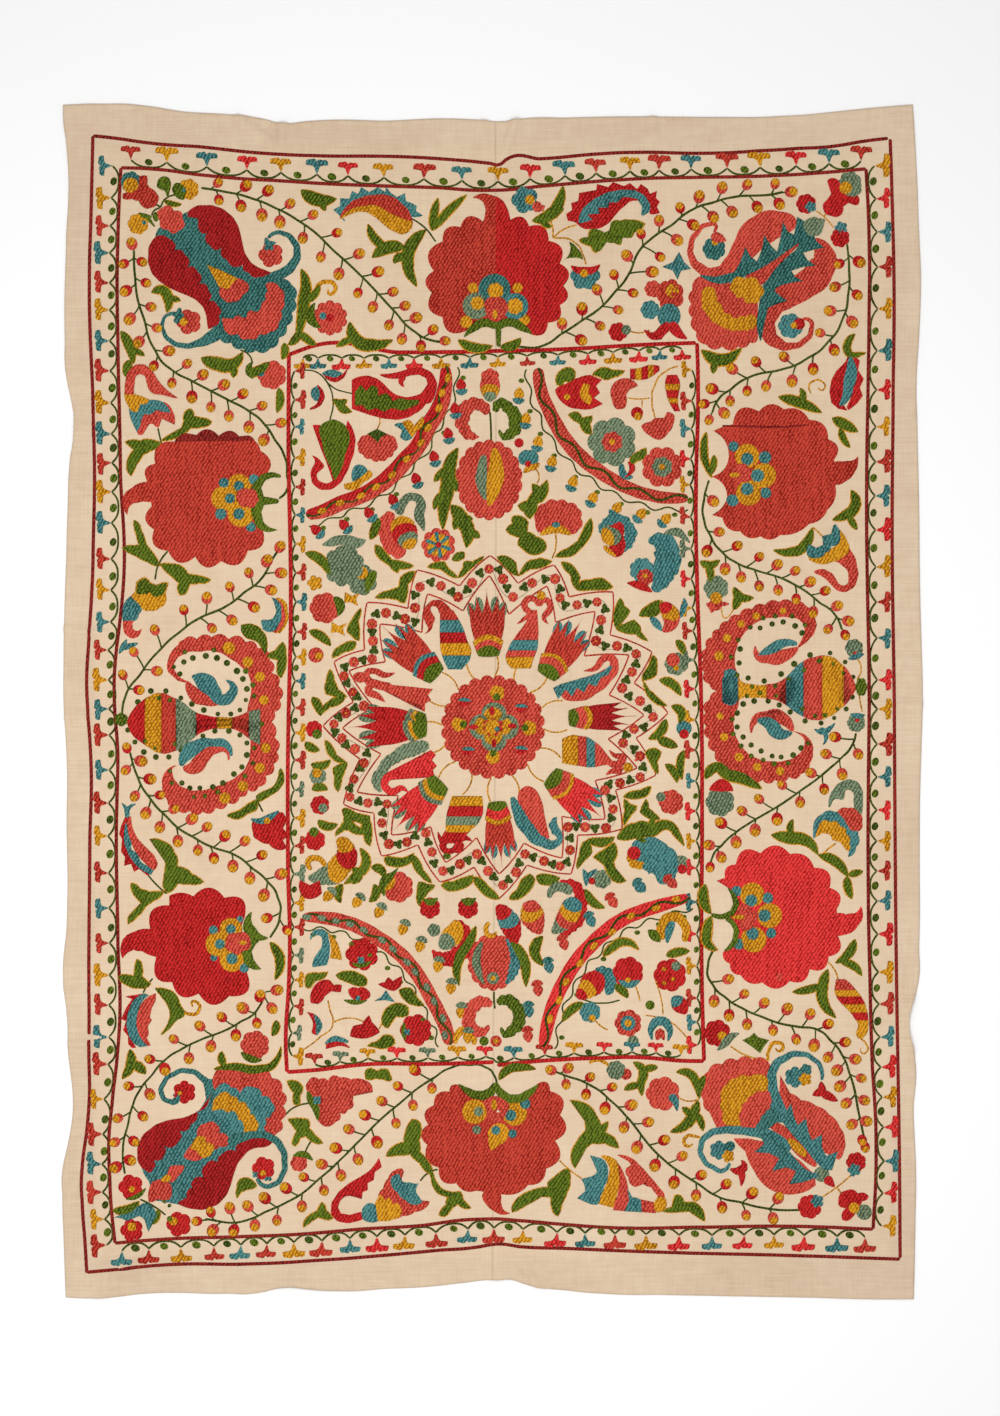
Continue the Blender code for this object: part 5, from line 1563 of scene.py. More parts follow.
def tulip(baseX, baseY, tipX, tipY, half, body, tips, bands):
    # five pointed petals over a fill in the tips' thread, with bands across the foot
    base, tip = np.array((baseX, baseY), float), np.array((tipX, tipY), float)
    along = tip - base
    across = np.array((-along[1], along[0])) / np.linalg.norm(along) * half

    def at(rows):
        rows = np.array(rows)
        places = base + np.outer(rows[:, 0], along) + np.outer(rows[:, 1], across)
        return np.column_stack((places, rows[:, 2]))

    spikes = ((0.16, -0.62, 0.04), (0.46, -0.94, 0), (0.78, -1.04, -0.06), (0.62, -0.72, -0.06),
              (0.88, -0.62, -0.06), (0.62, -0.3, -0.06), (1, 0, -0.06), (0.62, 0.3, -0.06),
              (0.88, 0.62, -0.06), (0.62, 0.72, -0.06), (0.78, 1.04, 0), (0.46, 0.94, 0.04), (0.16, 0.62, 0))
    if tips != body:
        turn = np.degrees(np.arctan2(along[1], along[0]))
        for share, wide in ((0.66, -0.86), (0.74, -0.44), (0.74, 0.44), (0.66, 0.86)):
            x, y = base + along * share + across * wide
            bloom(tips, x, y, half * 0.46, level=0, tall=0.55, tilt=turn + wide * 14)
    lobes(body, at(spikes), 1, pole=base + along * 0.4)
    for number, band in enumerate(bands.split()):
        thread, share = band.split(":")
        share = float(share)
        wide = 0.6 + 0.3 * min(share / 0.35, 1)
        arch = ((0, -0.56, 0), (share * 0.7, -wide, 0.24), (share * 0.7, wide, 0), (0, 0.56, 0.05))
        lobes(thread, at(arch), 2 + number, pole=base + along * share * 0.5)


def starPetals():
    bloom("rose", 493, 727, 52.5, petals=24, depth=0.07)
    centreX, centreY = starLook["middle"]
    near, far = starLook["rayNear"], starLook["rayFar"]
    for turn in range(starLook["rays"]):
        angle = np.radians(turn * 360 / starLook["rays"] + 2)
        bend = angle + starLook["rayBend"] * (-1) ** turn
        ray = (near, angle), ((near + far) / 2, bend), (far, angle)
        marks = [(centreX + r * np.cos(a), centreY + r * np.sin(a), starLook["rayHalf"]) for r, a in ray]
        ribbon("ochre", np.array(marks), 0)
    tulip(488.5, 656, 486.5, 587, 18, "madder", "sage", "ochre:.3 rose:.2 leaf:.1")
    tulip(546, 676, 583, 618, 18, "madder", "blue", "ochre:.34 rose:.27 leaf:.13")
    tulip(569, 718, 637, 716, 13.6, "carmine", "carmine", "ochre:.38 rose:.28 leaf:.12")
    tulip(550, 776, 604, 819, 18, "bright", "blue", "ochre:.36 rose:.29 leaf:.13")
    tulip(497, 802, 502, 868, 15, "madder", "blue", "ochre:.36 bright:.26 leaf:.1")
    tulip(441, 782, 393, 831, 18, "bright", "sage", "sage:.34 ochre:.25 leaf:.15")
    tulip(426, 725, 347, 727, 20, "crimson", "sage", "sage:.28 ochre:.2 leaf:.13")
    tulip(437, 676, 381, 625, 18, "madder", "blue", "blue:.34 crimson:.26 leaf:.13")
    # banded petals with curled tips
    slices("rose:640 blue:650 rose:657 ochre:668", "532,610 526,622 513,640 508,650 506,660 512,669",
           "537,610 538,622 538,640 537,650 533,660 531,669", axis=1)
    strips("rose", 1, "539,606,2.6 534,599,3 526,601,3.4 525,608,3.2 530,613,3 524,619,2 517,624,.5",
           "539,606,2.6 544,600,3 550,606,3 547,613,3.2 544,617,2.6 548,624,.5")
    bloom("ochre", 541, 595.5, 4.6, level=2)
    slices("ochre:578 rose:586 blue:595 rose:612", "562,739 566,737 580,736 595,742 605,752 612,761",
           "562,763 580,766 595,767 605,765 612,765")
    strips("rose", 1, "608,763,3 620,763,4 623,757,3.4 616,756,2.6 609,750,.6",
           "616,764,3 620,770,3.4 612,771,2.6 606,775,.6")
    bloom("ochre", 628, 767.5, 5, level=2)
    slices("ochre:806 crimson:816 sage:825 ochre:832 crimson:843",
           "452,796 449,806 446,820 446,832 447,843", "482,796 483,806 481,818 471,830 458,843", axis=1)
    strips("crimson", 1, "452,830,5 445,840,4 444,849,3.4 451,851,3 457,845,2.6 464,838,3 472,841,.6",
           "446,846,3 441,840,2.4 438,832,.6", "452,848,4 458,849,4 463,843,2")
    bloom("leaf", 447, 856, 4, level=1, tall=0.8)
    slices("madder:620 blue:632 crimson:643 ochre:655 blue:669", "440,610 440,622 440,640 442,655 448,669",
           "453,610 460,622 467,640 471,655 462,669", axis=1)
    between("madder", "453,613 446,604 436,600 428,604 424,612 425,622 428,630 424,634",
            "439,613 436,607 431,607 430,613 434,616 433,624 430,631 425,634", 1)
    # curled petals with an edge in a second thread
    ribbon("rose", "562,697,3 575,692,9.6 592,685,9.6 606,676,7 614,666,4.6 611,658,4 603,659,3.6 "
           "597,667,3 584,671,.5", 1)
    between("blue", "553,688,.01 561,684 575,680 590,676 603,671 612,664",
            "558,699,.01 566,690 572,697 577,688 584,693 589,684 596,687 601,678 608,675 613,666", 2)
    ribbon("rose", "526,786,7 530,803,11.6 537,820,8.6 548,839,2", 1)
    ribbon("blue", "512,797,2 518,812,5.4 529,830,6.4 543,842,5 555,844,3.6 560,837,2.8 555,829,4 "
           "554,822,3 557,817,.5", 2, teeth=(6, 1.2), side="left")
    between("bright", "431,750,.01 436,755 432,760 437,766 433,770 435,777",
            "388,772,.01 388,774 389,777 390,779 391,780", 1)
    ribbon("bright", "394,774,5 385,781,4 387,789,3.8 395,791,3.4 401,788,3 408,792,.6", 2)
    ribbon("sage", "429,745,4 413,749,6.6 396,757,5.4 382,771,4.6 377,785,3.4 381,792,1", 2, teeth=(6, 1))
    between("rose", "433,689,.01 428,695 431,700 425,704 425,712",
            "384,684,.01 384,685 384,687 384,689 384,691", 1)
    ribbon("rose", "392,687,4 376,684,4.4 368,680,4 367,673,3.4 374,671,3 384,675,3 395,673,.5", 1)
    strips("rose", 1, "372,684,4 368,691,3.6 376,695,3.4 385,702,.5", "367,678,3 358,677,5 353,676,2")
    # the heart
    for x, y, r in ((497, 693, 8), (459, 724, 8), (529, 728, 8), (493, 757, 7.4)):
        bloom("ochre", x, y, r, petals=5, depth=0.14, level=1)
        bloom("leaf", x + (495 - x) * 0.12, y + (726 - y) * 0.12, r * 0.5, level=2)
    bloom("sage", 494, 727, 25, petals=4, depth=0.3, level=1, tilt=45)
    bloom("ochre", 493, 726, 19, petals=4, depth=0.34, level=2, tilt=45)
    bloom("madder", 493, 726, 11, petals=8, depth=0.2, level=3)
    bloom("ochre", 492, 727, 8, petals=6, depth=0.2, level=4)
    bloom("blue", 497, 729, 2.8, level=5)
    for x, y, tilt in ((492, 711, 90), (474, 727, 0), (494, 743, 90), (512, 726, 0)):
        bloom("crimson", x, y, 5, level=3, tall=0.55, tilt=tilt)
    for x, y in ((464, 701), (521, 707), (521, 749), (468, 750)):
        ribbon("crimson", np.array(((x - 6, y + 2, 0.6), (x, y + 3, 2.6), (x + 6, y + 1, 0.6))), 1)
        ribbon("blue", np.array(((x - 6, y - 1, 0.6), (x, y - 1.4, 2), (x + 7, y, 0.5))), 2)


def starLeaves():
    # barbed leaves over each valley, along the lines
    leaves(4.8, "379,518 374,532 370,540", "659,680 672,684 681,696", "671,706 681,712 679,724",
           "666,719 659,733 648,739", "657,739 668,743 678,747", "352,868 358,874 352,884",
           "639,616 650,609 660,600")
    for text in ("375,545,.1 381,547,0 392,560,.05 414,566,.1 400,569,0 398,573,.1 390,566,0 381,560,.15",
                 "427,567,.12 445,562,-.05 450,570,.05 458,578,.1 446,573,0 440,569,.05",
                 "458,578,.05 463,568,.05 464,562,.1 472,562,0 484,556,.1 476,564,.05 468,571,.1",
                 "452,560,.1 457,553,.05 464,552,.1 464,558,.05 458,561,.1",
                 "361,608,.1 358,620,.05 359,641,.1 352,636,0 347,632,.1 352,620,.05",
                 "356,642,.1 354,649,.05 344,652,.05 332,658,.15 340,646,0 347,642,.1",
                 "330,669,.1 334,680,.05 338,690,.05 347,697,.1 336,697,0 326,694,.1 326,682,.05",
                 "345,698,.1 338,705,.05 330,707,0 322,714,.1 325,704,0 333,698,.1",
                 "497,557,.12 508,557,.05 516,563,-.05 519,576,.1 508,570,.05 501,563,.05",
                 "519,576,.05 524,566,.1 531,560,-.05 540,558,0 552,561,.1 543,567,.05 530,569,0",
                 "561,562,.1 572,565,.05 580,577,.05 577,590,.1 571,576,-.05 566,571,.05",
                 "577,590,.05 580,582,.1 590,580,.05 602,578,.05 613,587,.1 602,590,0 590,590,.05",
                 "620,598,.1 624,606,.05 630,611,.05 624,620,.05 616,628,.1 614,612,.05",
                 "616,629,.1 625,624,.05 634,620,0 640,626,0 641,632,0 648,641,.1 636,634,.05 625,633,.05",
                 "653,655,.15 657,664,.05 656,675,.1 650,679,0 642,681,.1 645,671,0 649,665,.05",
                 "643,681,.05 648,690,0 652,692,0 658,698,0 667,706,.1 655,703,.05 647,695,.05",
                 "325,740,.1 332,746,.05 337,757,.05 346,762,.1 335,761,0 328,754,.05",
                 "347,762,.1 345,770,.05 342,778,.05 338,792,.15 335,778,.05 333,768,0 340,764,.05",
                 "342,810,.15 346,808,.05 356,813,0 370,816,.1 368,824,.1 358,822,0 346,820,.05",
                 "344,821,.1 355,824,0 359,829,.05 345,830,0 335,836,.1 340,827,.05",
                 "369,818,.05 372,828,.05 370,846,.15 364,836,.05 361,826,.1",
                 "384,858,.15 392,857,0 402,858,-.05 414,853,.1 412,862,.05 400,867,.05 387,865,.1",
                 "413,855,.1 419,860,.05 423,870,.05 432,883,.1 421,876,.05 414,868,.1",
                 "419,882,.1 427,884,0 435,885,.1 428,892,.05 424,898,0 419,906,.1 417,893,.05",
                 "441,885,.15 452,882,0 462,878,0 473,875,.1 472,883,.05 462,889,.05 449,891,.1",
                 "473,877,.1 480,878,.05 488,886,.05 500,899,.1 486,896,.05 478,888,.1",
                 "509,899,.1 517,890,0 521,880,.05 530,874,.1 535,880,.05 531,889,.05 521,898,.1",
                 "536,876,.1 546,874,.05 560,878,.1 550,885,.05 540,884,.1",
                 "583,842,.15 590,843,.05 592,852,.05 585,860,0 577,869,.1 579,857,.05",
                 "585,841,.1 597,838,0 615,837,.1 603,847,.05 592,845,.05",
                 "651,786,.1 647,796,.05 634,799,.05 623,797,.1 633,791,0 641,790,.05",
                 "624,799,.1 630,804,0 637,806,.1 632,814,0 624,826,.1 625,811,.05",
                 "646,799,.1 648,808,.05 654,813,.05 660,819,.1 648,818,.05 640,812,.05",
                 "617,839,.1 630,832,.05 637,822,.1 647,822,.05 653,829,0 651,836,.05 640,837,0 "
                 "628,840,.05", "645,752,.1 655,748,.05 661,752,.05 657,762,.05 658,774,.1 651,764,.05"):
        lobed(text)
    lobed("415,571,.1 408,584,.05 405,603,.15 398,600,0 387,598,.05 375,598,.1 388,591,0 399,587,.05 "
          "401,577,.1", (401, 591))
    lobed("614,842,.1 617,855,.05 612,864,0 615,873,.05 626,881,.15 613,881,.05 608,871,0 603,864,0 "
          "593,857,.05 603,850,0", (609, 860))


def wavy(text, waves, off, swing, buds=0, side=1, level=0):
    # a vine that swings about a curve, off to one side of it, with a bud outside each swing
    fine = smoothLine(marksOf(text, 0.0), np.linspace(0, 1, 121))[:, :2]
    ahead = np.gradient(fine, axis=0)
    ahead /= np.linalg.norm(ahead, axis=1)[:, None]
    out = np.column_stack((ahead[:, 1], -ahead[:, 0])) * side
    wave = np.sin(np.linspace(0, waves * np.pi, 121))
    path = fine + out * (off + swing * wave)[:, None]
    ribbon("vine", np.column_stack((path, np.full(121, 1.25)))[::3], level)
    for number in range(buds):
        at = int((number + 0.5) / buds * 120)
        x, y = path[at] + out[at] * 5
        bloom("leaf", x, y, 3.2, tall=0.8)


def arcs():
    # a curved band at each corner of the field with a vine along it, and outside it a vine with buds
    # and small pendants
    bands = (
        ("crimson", 1, "446,366,5.4 443,393,7 438,408,7.4 427,426,7.6 419,443,7.6 405,459,7.8 "
         "390,475,7.8 375,487,7.6 359,496,7.4 340,503,7.2 322,511,6.6 306,515,5"),
        ("rose", -1, "538,368,5.6 541,390,6.6 548,408,7 557,426,7.4 568,443,7.6 581,457,7.6 596,469,7.4 "
         "613,480,7 631,489,6.6 650,495,6.4 670,498,6 688,498,4.6"),
        ("rose", -1, "303,917,4.6 325,918,6.6 345,922,7.2 361,928,7.4 378,938,7.6 395,950,7.6 "
         "410,965,7.6 421,980,7.4 431,998,7.4 440,1015,7.2 447,1032,7 450,1045,6"),
        ("bright", 1, "690,897,4.4 672,902,6.2 655,907,7 637,913,7.2 620,921,7.4 605,932,7.6 590,946,7.6 "
         "576,962,7.6 565,980,7.4 556,998,7.2 550,1015,7 546,1032,6.6 543,1047,5"))
    for thread, side, text in bands:
        ribbon(thread, text, 0)
        wavy(text, 11, 0, 3, level=2)
        wavy(text, 17, 11.5, 2.2, 9, side)
    ribbon("rose", "450,372,2 448,394,3.4 443,410,4 432,429,4 423,446,4 409,463,4 394,479,4 378,491,4 "
           "361,500,4 342,507,3.6 324,515,3 309,518,2", 1)
    for thread, level, text in (
            ("ochre", 3, "448,378,15 442,393,20 439,408,30 428,428,40 421,443,45 407,459,50 392,475,50 "
             "376,487,55 361,496,60 340,503,70 322,511,75"),
            ("sage", 3, "307,917,-80 322,918,-75 336,921,-70 350,924,-65 364,930,-60 382,940,-52 "
             "393,949,-48 407,962,-45 415,972,-40 427,987,-30 434,1001,-25 443,1018,-20 445,1035,-12"),
            ("ochre", 3, "676,899,70 656,908,65 631,916,58 612,932,50 594,946,42 580,963,36 566,982,30 "
             "559,1000,24 550,1019,18")):
        for x, y, turn in marksOf(text):
            bloom(thread, x, y, 4.8, level=level, tall=0.66, tilt=turn + 90)
    pendants = {
        "crimson blue": "461,385 455,409 448,434 434,457 416,479 393,500 369,513 344,525 316,530",
        "ochre blue": "519,394 526,419 538,442 552,462 573,482 593,498 617,508 641,514 666,519",
        "ochre sage": "328,896 357,902 379,912 403,929 420,946 438,966 451,988 461,1012 468,1037",
        "rose madder": "672,883 613,902 564,944 538,990 528,1036",
        "blue deep": "641,887 591,921 549,967 529,1011",
    }
    centre = np.array((494, 707))
    for words, text in pendants.items():
        body, cap = words.split()
        for x, y in marksOf(text):
            toward = centre - (x, y)
            toward = toward / np.linalg.norm(toward)
            foot, tip = np.array((x, y)) - toward * 6.5, np.array((x, y)) + toward * 5.5
            middle = (foot + tip) / 2
            ribbon(body,
                   np.array(((*foot, 1), (*middle, 4.8), (*(middle + toward * 3.4), 4.4), (*tip, 1.8))), 1)
            cross = np.array((-toward[1], toward[0]))
            ends = tip - cross * 6, tip + toward * 1.6, tip + cross * 6
            ribbon(cap, np.array(((*ends[0], 0.8), (*ends[1], 3.4), (*ends[2], 0.8))), 2)


def fieldTopMotifs():
    # the pomegranate between the arcs
    bloom("rose", 489, 480, 34, petals=18, depth=0.07, level=0, tall=1.2)
    ribbon("sage", "484,455,3 482,470,5.4 482,486,5.4 486,500,2", 1)
    ribbon("ochre", "494,448,3 496,465,7 494,485,8 489,506,2", 1)
    bloom("rose", 490, 378, 10, petals=6, level=0)
    tiers("490,402,3 490,394,8 490,385,10 490,376,8", "rose:1 ochre:.7 sage:.4", 1)
    stem("491,446 491,430 490,412", 1.5)
    ribbon("rose", "488,414,4 480,405,5 470,406,6 463,416,6.6 464,428,5 472,436,3.4 479,437,.6", 1,
           teeth=(6, 1.6))
    ribbon("leaf", "495,412,3 499,404,4 509,409,5 515,421,6 511,433,4.6 503,436,2.6 499,430,.6", 1,
           teeth=(6, 1.4))
    posies("crimson,519,443,5")
    leaf("458,448 450,465 448,485 444,505 443,530", 7.4)
    leaves(4, "450,468 441,474 434,482", "447,492 438,500 434,510", "448,478 455,484 456,492")
    leaf("451,505 462,520 468,536 466,548", 7.6)
    leaves(4, "460,520 466,519 473,519", "456,515 456,524 454,530", "468,533 474,534 480,538")
    lobed("547,480,.1 547,495,.05 543,501,0 537,504,.1 536,512,0 530,519,.1 524,512,.1 518,506,.1 "
          "527,501,.05 533,492,0 532,484,.1 540,487,0", (533, 502))
    lobed("512,517,.1 520,516,.1 528,522,0 527,532,.1 536,537,.1 545,542,.1 546,549,.1 536,555,.1 "
          "526,552,0 518,545,.1 520,538,0 512,535,.1 506,530,.1 512,524,0", (524, 535))
    lobed("591,518,.1 591,535,.05 581,548,.05 572,556,.05 555,557,.1 567,549,0 578,541,0 584,528,.05",
          (579, 545))
    lobes("rose", "535,522,.15 536,512,.2 545,503,.25 557,501,.25 568,503,.25 578,508,.25 581,518,.25 "
          "579,530,.2 568,534,0 558,529,-.1 546,531,0 538,533,.1", 0, pole=(558, 516))
    lobes("blue", "518,459 521,452 529,450 536,452 539,459 536,464 528,463 522,465", 0, bulge=0.15)
    lobes("ochre", "523,473 527,466 533,464 540,463 537,469 531,471", 1, bulge=0.1)
    bloom("crimson", 528, 464, 3.4, level=2)
    stem("535,468 539,476 537,484", 1.1, "ochre")
    ribbon("ochre", "540,535,1 548,531,3.6 556,529,4 564,531,3.6 571,535,1", 1)
    bloom("blue", 556, 525, 4.4, level=2, tall=0.7)
    stem("555,531 556,545 552,559", 1.2, "ochre")
    # left bird and the round flower
    ribbon("rose", "392,512,4 387,524,7 389,538,8 395,548,8 406,553,5", 0, teeth=(9, 2))
    tiers("412,549,4 408,540,10 403,528,12 400,516,8", "ochre:1 crimson:.78 sage:.5 ochre:.3", 1,
          teeth=(5, .8))
    ribbon("sage", "399,515,5 403,503,4.4 413,497,4 421,504,4.6 419,514,5 422,524,3.4 424,531,.6", 2)
    bloom("rose", 438.5, 545, 17.5, petals=9, level=0)
    bloom("ochre", 438.5, 545, 12, petals=8, level=1)
    for turn in range(6):
        angle = np.radians(turn * 60 + 20)
        tipX, tipY = 438.5 + 13.5 * np.cos(angle), 545 + 13.5 * np.sin(angle)
        ribbon("blue", np.array(((438.5, 545, 1.4), (tipX, tipY, 2.4))), 2)
    bloom("crimson", 438.5, 545, 3, level=4)
    bloom("sage", 344, 566, 21, petals=9, level=0)
    bloom("sage", 362, 580, 16, petals=7, level=0)
    posies("ochre,362,573,7")
    strips("leaf", 1, "376,571,2 371,578,5 368,588,3 366,593,.8")
    ribbon("sage", "322,545,.6 330,543,4 342,540,5 356,543,6 366,540,.8", 0)
    ribbon("crimson", "617,528,2 619,538,5 617,548,8 612,556,5", 1)
    tiers("602,540,8 609,536,11 617,530,8 620,522,3", "crimson:1 sage:.7 ochre:.45", 1)
    ribbon("blue", "601,534,3 607,524,5 618,520,5 627,526,5 629,540,5 622,552,.8", 0, teeth=(6, 2))
    ribbon("ochre", "604,546,2 610,552,2.4 616,556,1", 2)
    ribbon("blue", "648,541,2 660,542,9 667,555,12 664,572,11 654,592,3", 0, teeth=(8, 1.6))
    bloom("blue", 642, 570, 13, petals=8, level=0)
    posies("rose,645,577,9 ochre,645,576,3")
    strips("crimson", 1, "627,583,.6 638,585,4 652,592,1")
    ribbon("sage", "663,535,.6 672,532,4 684,537,3 690,543,.6", 0)


def fieldCornersTop():
    # left: stems and paisleys in the corner inside the arc
    stem("302,370 318,373 330,385 345,392 358,394", 1.2)
    stem("325,378 333,400 330,420", 1.2)
    between("crimson", "351,380 362,376 373,377 383,383 391,391 401,396 413,396 424,392",
            "351,409 363,413 376,417 390,419.5 403,419 415,414 424,407 430,397", 0)
    ribbon("crimson",
           "422,402,8 430,391,6 431,380,4.4 424,373,4 414,371.5,3.8 404,374,3.4 394,376,3 380,375,.8", 1)
    strips("crimson", 1, "405,376,3 401,382,2.6 404,387,.6")
    between("leaf", "355,392,.01 361,385 366,391 372,385 378,388 378,396 386,393 391,397 391,402 400,398 "
            "408,400 419,400",
            "355,406,.01 362,405 368,411 376,408 384,412 392,408 402,411 410,408 419,404", 2)
    between("crimson", "312,424,.01 316,436 321,450 326,462 333,482",
            "320,424 325,436 330,450 333,462 336,478", 0)
    between("crimson", "347,419 354,432 355,447 351,462 345,476 337,486 326,490 316,487 311,478 312,468 "
            "315,462 311,455", "346,426 346,440 344,452 340,465 335,476 330,482 322,482 317,476 319,470 "
            "324,468 321,461 312,455", 0)
    lobes("leaf", "319,428,.1 328,421,.15 338,421,.1 347,428,.1 350,440,.05 345,455,.05 342,468,.05 "
          "335,481,.05 331,468,.05 325,455,.05 322,442,.05", 1, pole=(335, 445))
    lobed("332,400,.1 340,400,.1 347,400,.1 345,405,0 352,412,.1 342,413,.1 337,407,0", (341, 405))
    lobes("rose", "359,440,.2 366,435,.1 378,433,.1 390,435,.2 397,442,.25 394,452,.25 388,458,.25 "
          "380,461,.25 371,459,.25 363,455,.25 358,447,.2", 0, pole=(377, 446))
    lobes("vine", "367,434 377,429 387,434 381,438 378,443 373,438", 1, bulge=0)
    stem("377,430 380,420 376,410", 1.1, "ochre")
    lobes("ochre", "402,423,.1 409,420,.1 414,426,0 423,416,.1 424,424,.1 417,431,0 412,438,0 407,431,0", 1,
          pole=(412, 428))
    lobes("blue", "394,425,.1 402,423,0 408,430,.1 413,437,.1 406,441,.1 400,437,0 402,430,0", 1,
          pole=(405, 432))
    lobes("blue", "352,472,.1 356,465,.1 364,466,.1 368,472,0 361,477,0 353,482,.1", 1, pole=(359, 473))
    lobes("ochre", "344,484,0 353,482,0 361,477,0 369,470,.1 373,475,.1 364,482,0 358,489,.1 345,489,.1", 1,
          pole=(360, 482))
    between("crimson", "323,375 330,381 341,380 348,369", "323,374 330,376 339,376 347,369", 1)
    between("blue", "322,374 330,377 338,377 342,374", "324,372 330,370 337,371 342,373", 2)
    between("crimson", "318,385 324,393 323,402 317,408 310,410", "316,387 319,394 318,401 314,406 310,408",
            1)
    between("blue", "317,386 320,393 318,401", "312,389 311,395 315,401", 2)
    # right
    lobed("557,385,.1 556,377,.1 563,369,.15 573,369,.15 575,376,.1 571,383,.05 565,381,-.05 562,386,0",
          (565, 377))
    lobes("crimson", "555,390,.1 566,384,.05 578,378,.05 590,375,0 602,380,0 596,386,0 600,393,0 "
          "594,398,0 603,404,0 592,409,.05 578,409,.1 564,404,.1", 1, pole=(578, 394))
    lobes("ochre", "580,390 584,383 590,385 588,392 592,398 590,405 584,402 580,397", 2, bulge=0.05,
          pole=(585, 394))
    bloom("ochre", 567, 397, 3.4, level=2)
    lobed("592,375,.05 600,368,.1 612,370,0 625,371,.1 615,377,0 607,380,.1 600,377,0", (606, 373))
    slices("crimson:635 ochre:641 crimson:648 ochre:653 crimson:659", "629,369 640,368 650,365 659,366",
           "630,379 641,380 651,377 659,371")
    lobes("rose", "611,388,.1 618,380,.1 630,379,.1 638,386,0 630,389,0 626,395,.1 625,408,.1 616,409,.1 "
          "612,400,.1", 1, pole=(620, 394))
    slices("crimson:384 ochre:390 crimson:398 ochre:403 crimson:411",
           "667,375 665,384 666,392 669,402 674,411", "677,375 680,384 679,392 678,402 680,411", axis=1)
    posies("crimson,637,413,6.4 ochre,638,416.5,4.2")
    lobes("rose", "641,426,.1 650,422,0 655,418,0 664,418,0 667,412,.1 674,415,.1 673,425,.1 668,433,.1 "
          "660,440,.1 650,436,.1", 1, pole=(660, 427))
    posies("sage,612,442,25,7,.16 rose,612,442,11,7,.16 ochre,612,442,3.4")
    lobed("568,415,.1 577,412,.1 582,418,0 592,416,.1 590,424,0 592,434,.1 585,433,.1 580,424,0 573,420,0",
          (583, 420))
    strips("crimson", 1, "628,462,1 632,467,3 630,473,2 624,478,.6")
    strips("blue", 1, "622,464,2 622,471,3.4 628,477,3 633,477,1")
    lobed("646,448,.1 645,457,.1 637,461,.05 630,466,.1 631,457,.1 638,452,.05", (639, 457))
    posies("rose,662,467,21,8,.14 sage,662,467,11,7,.14 ochre,662,467,3.4")
    stem("678,366 665,372 655,385 652,400 655,418", 1.2, "ochre")
    stem("627,398 642,399 650,398", 1.1, "ochre")
    stem("642,400 642,408", 1, "ochre")


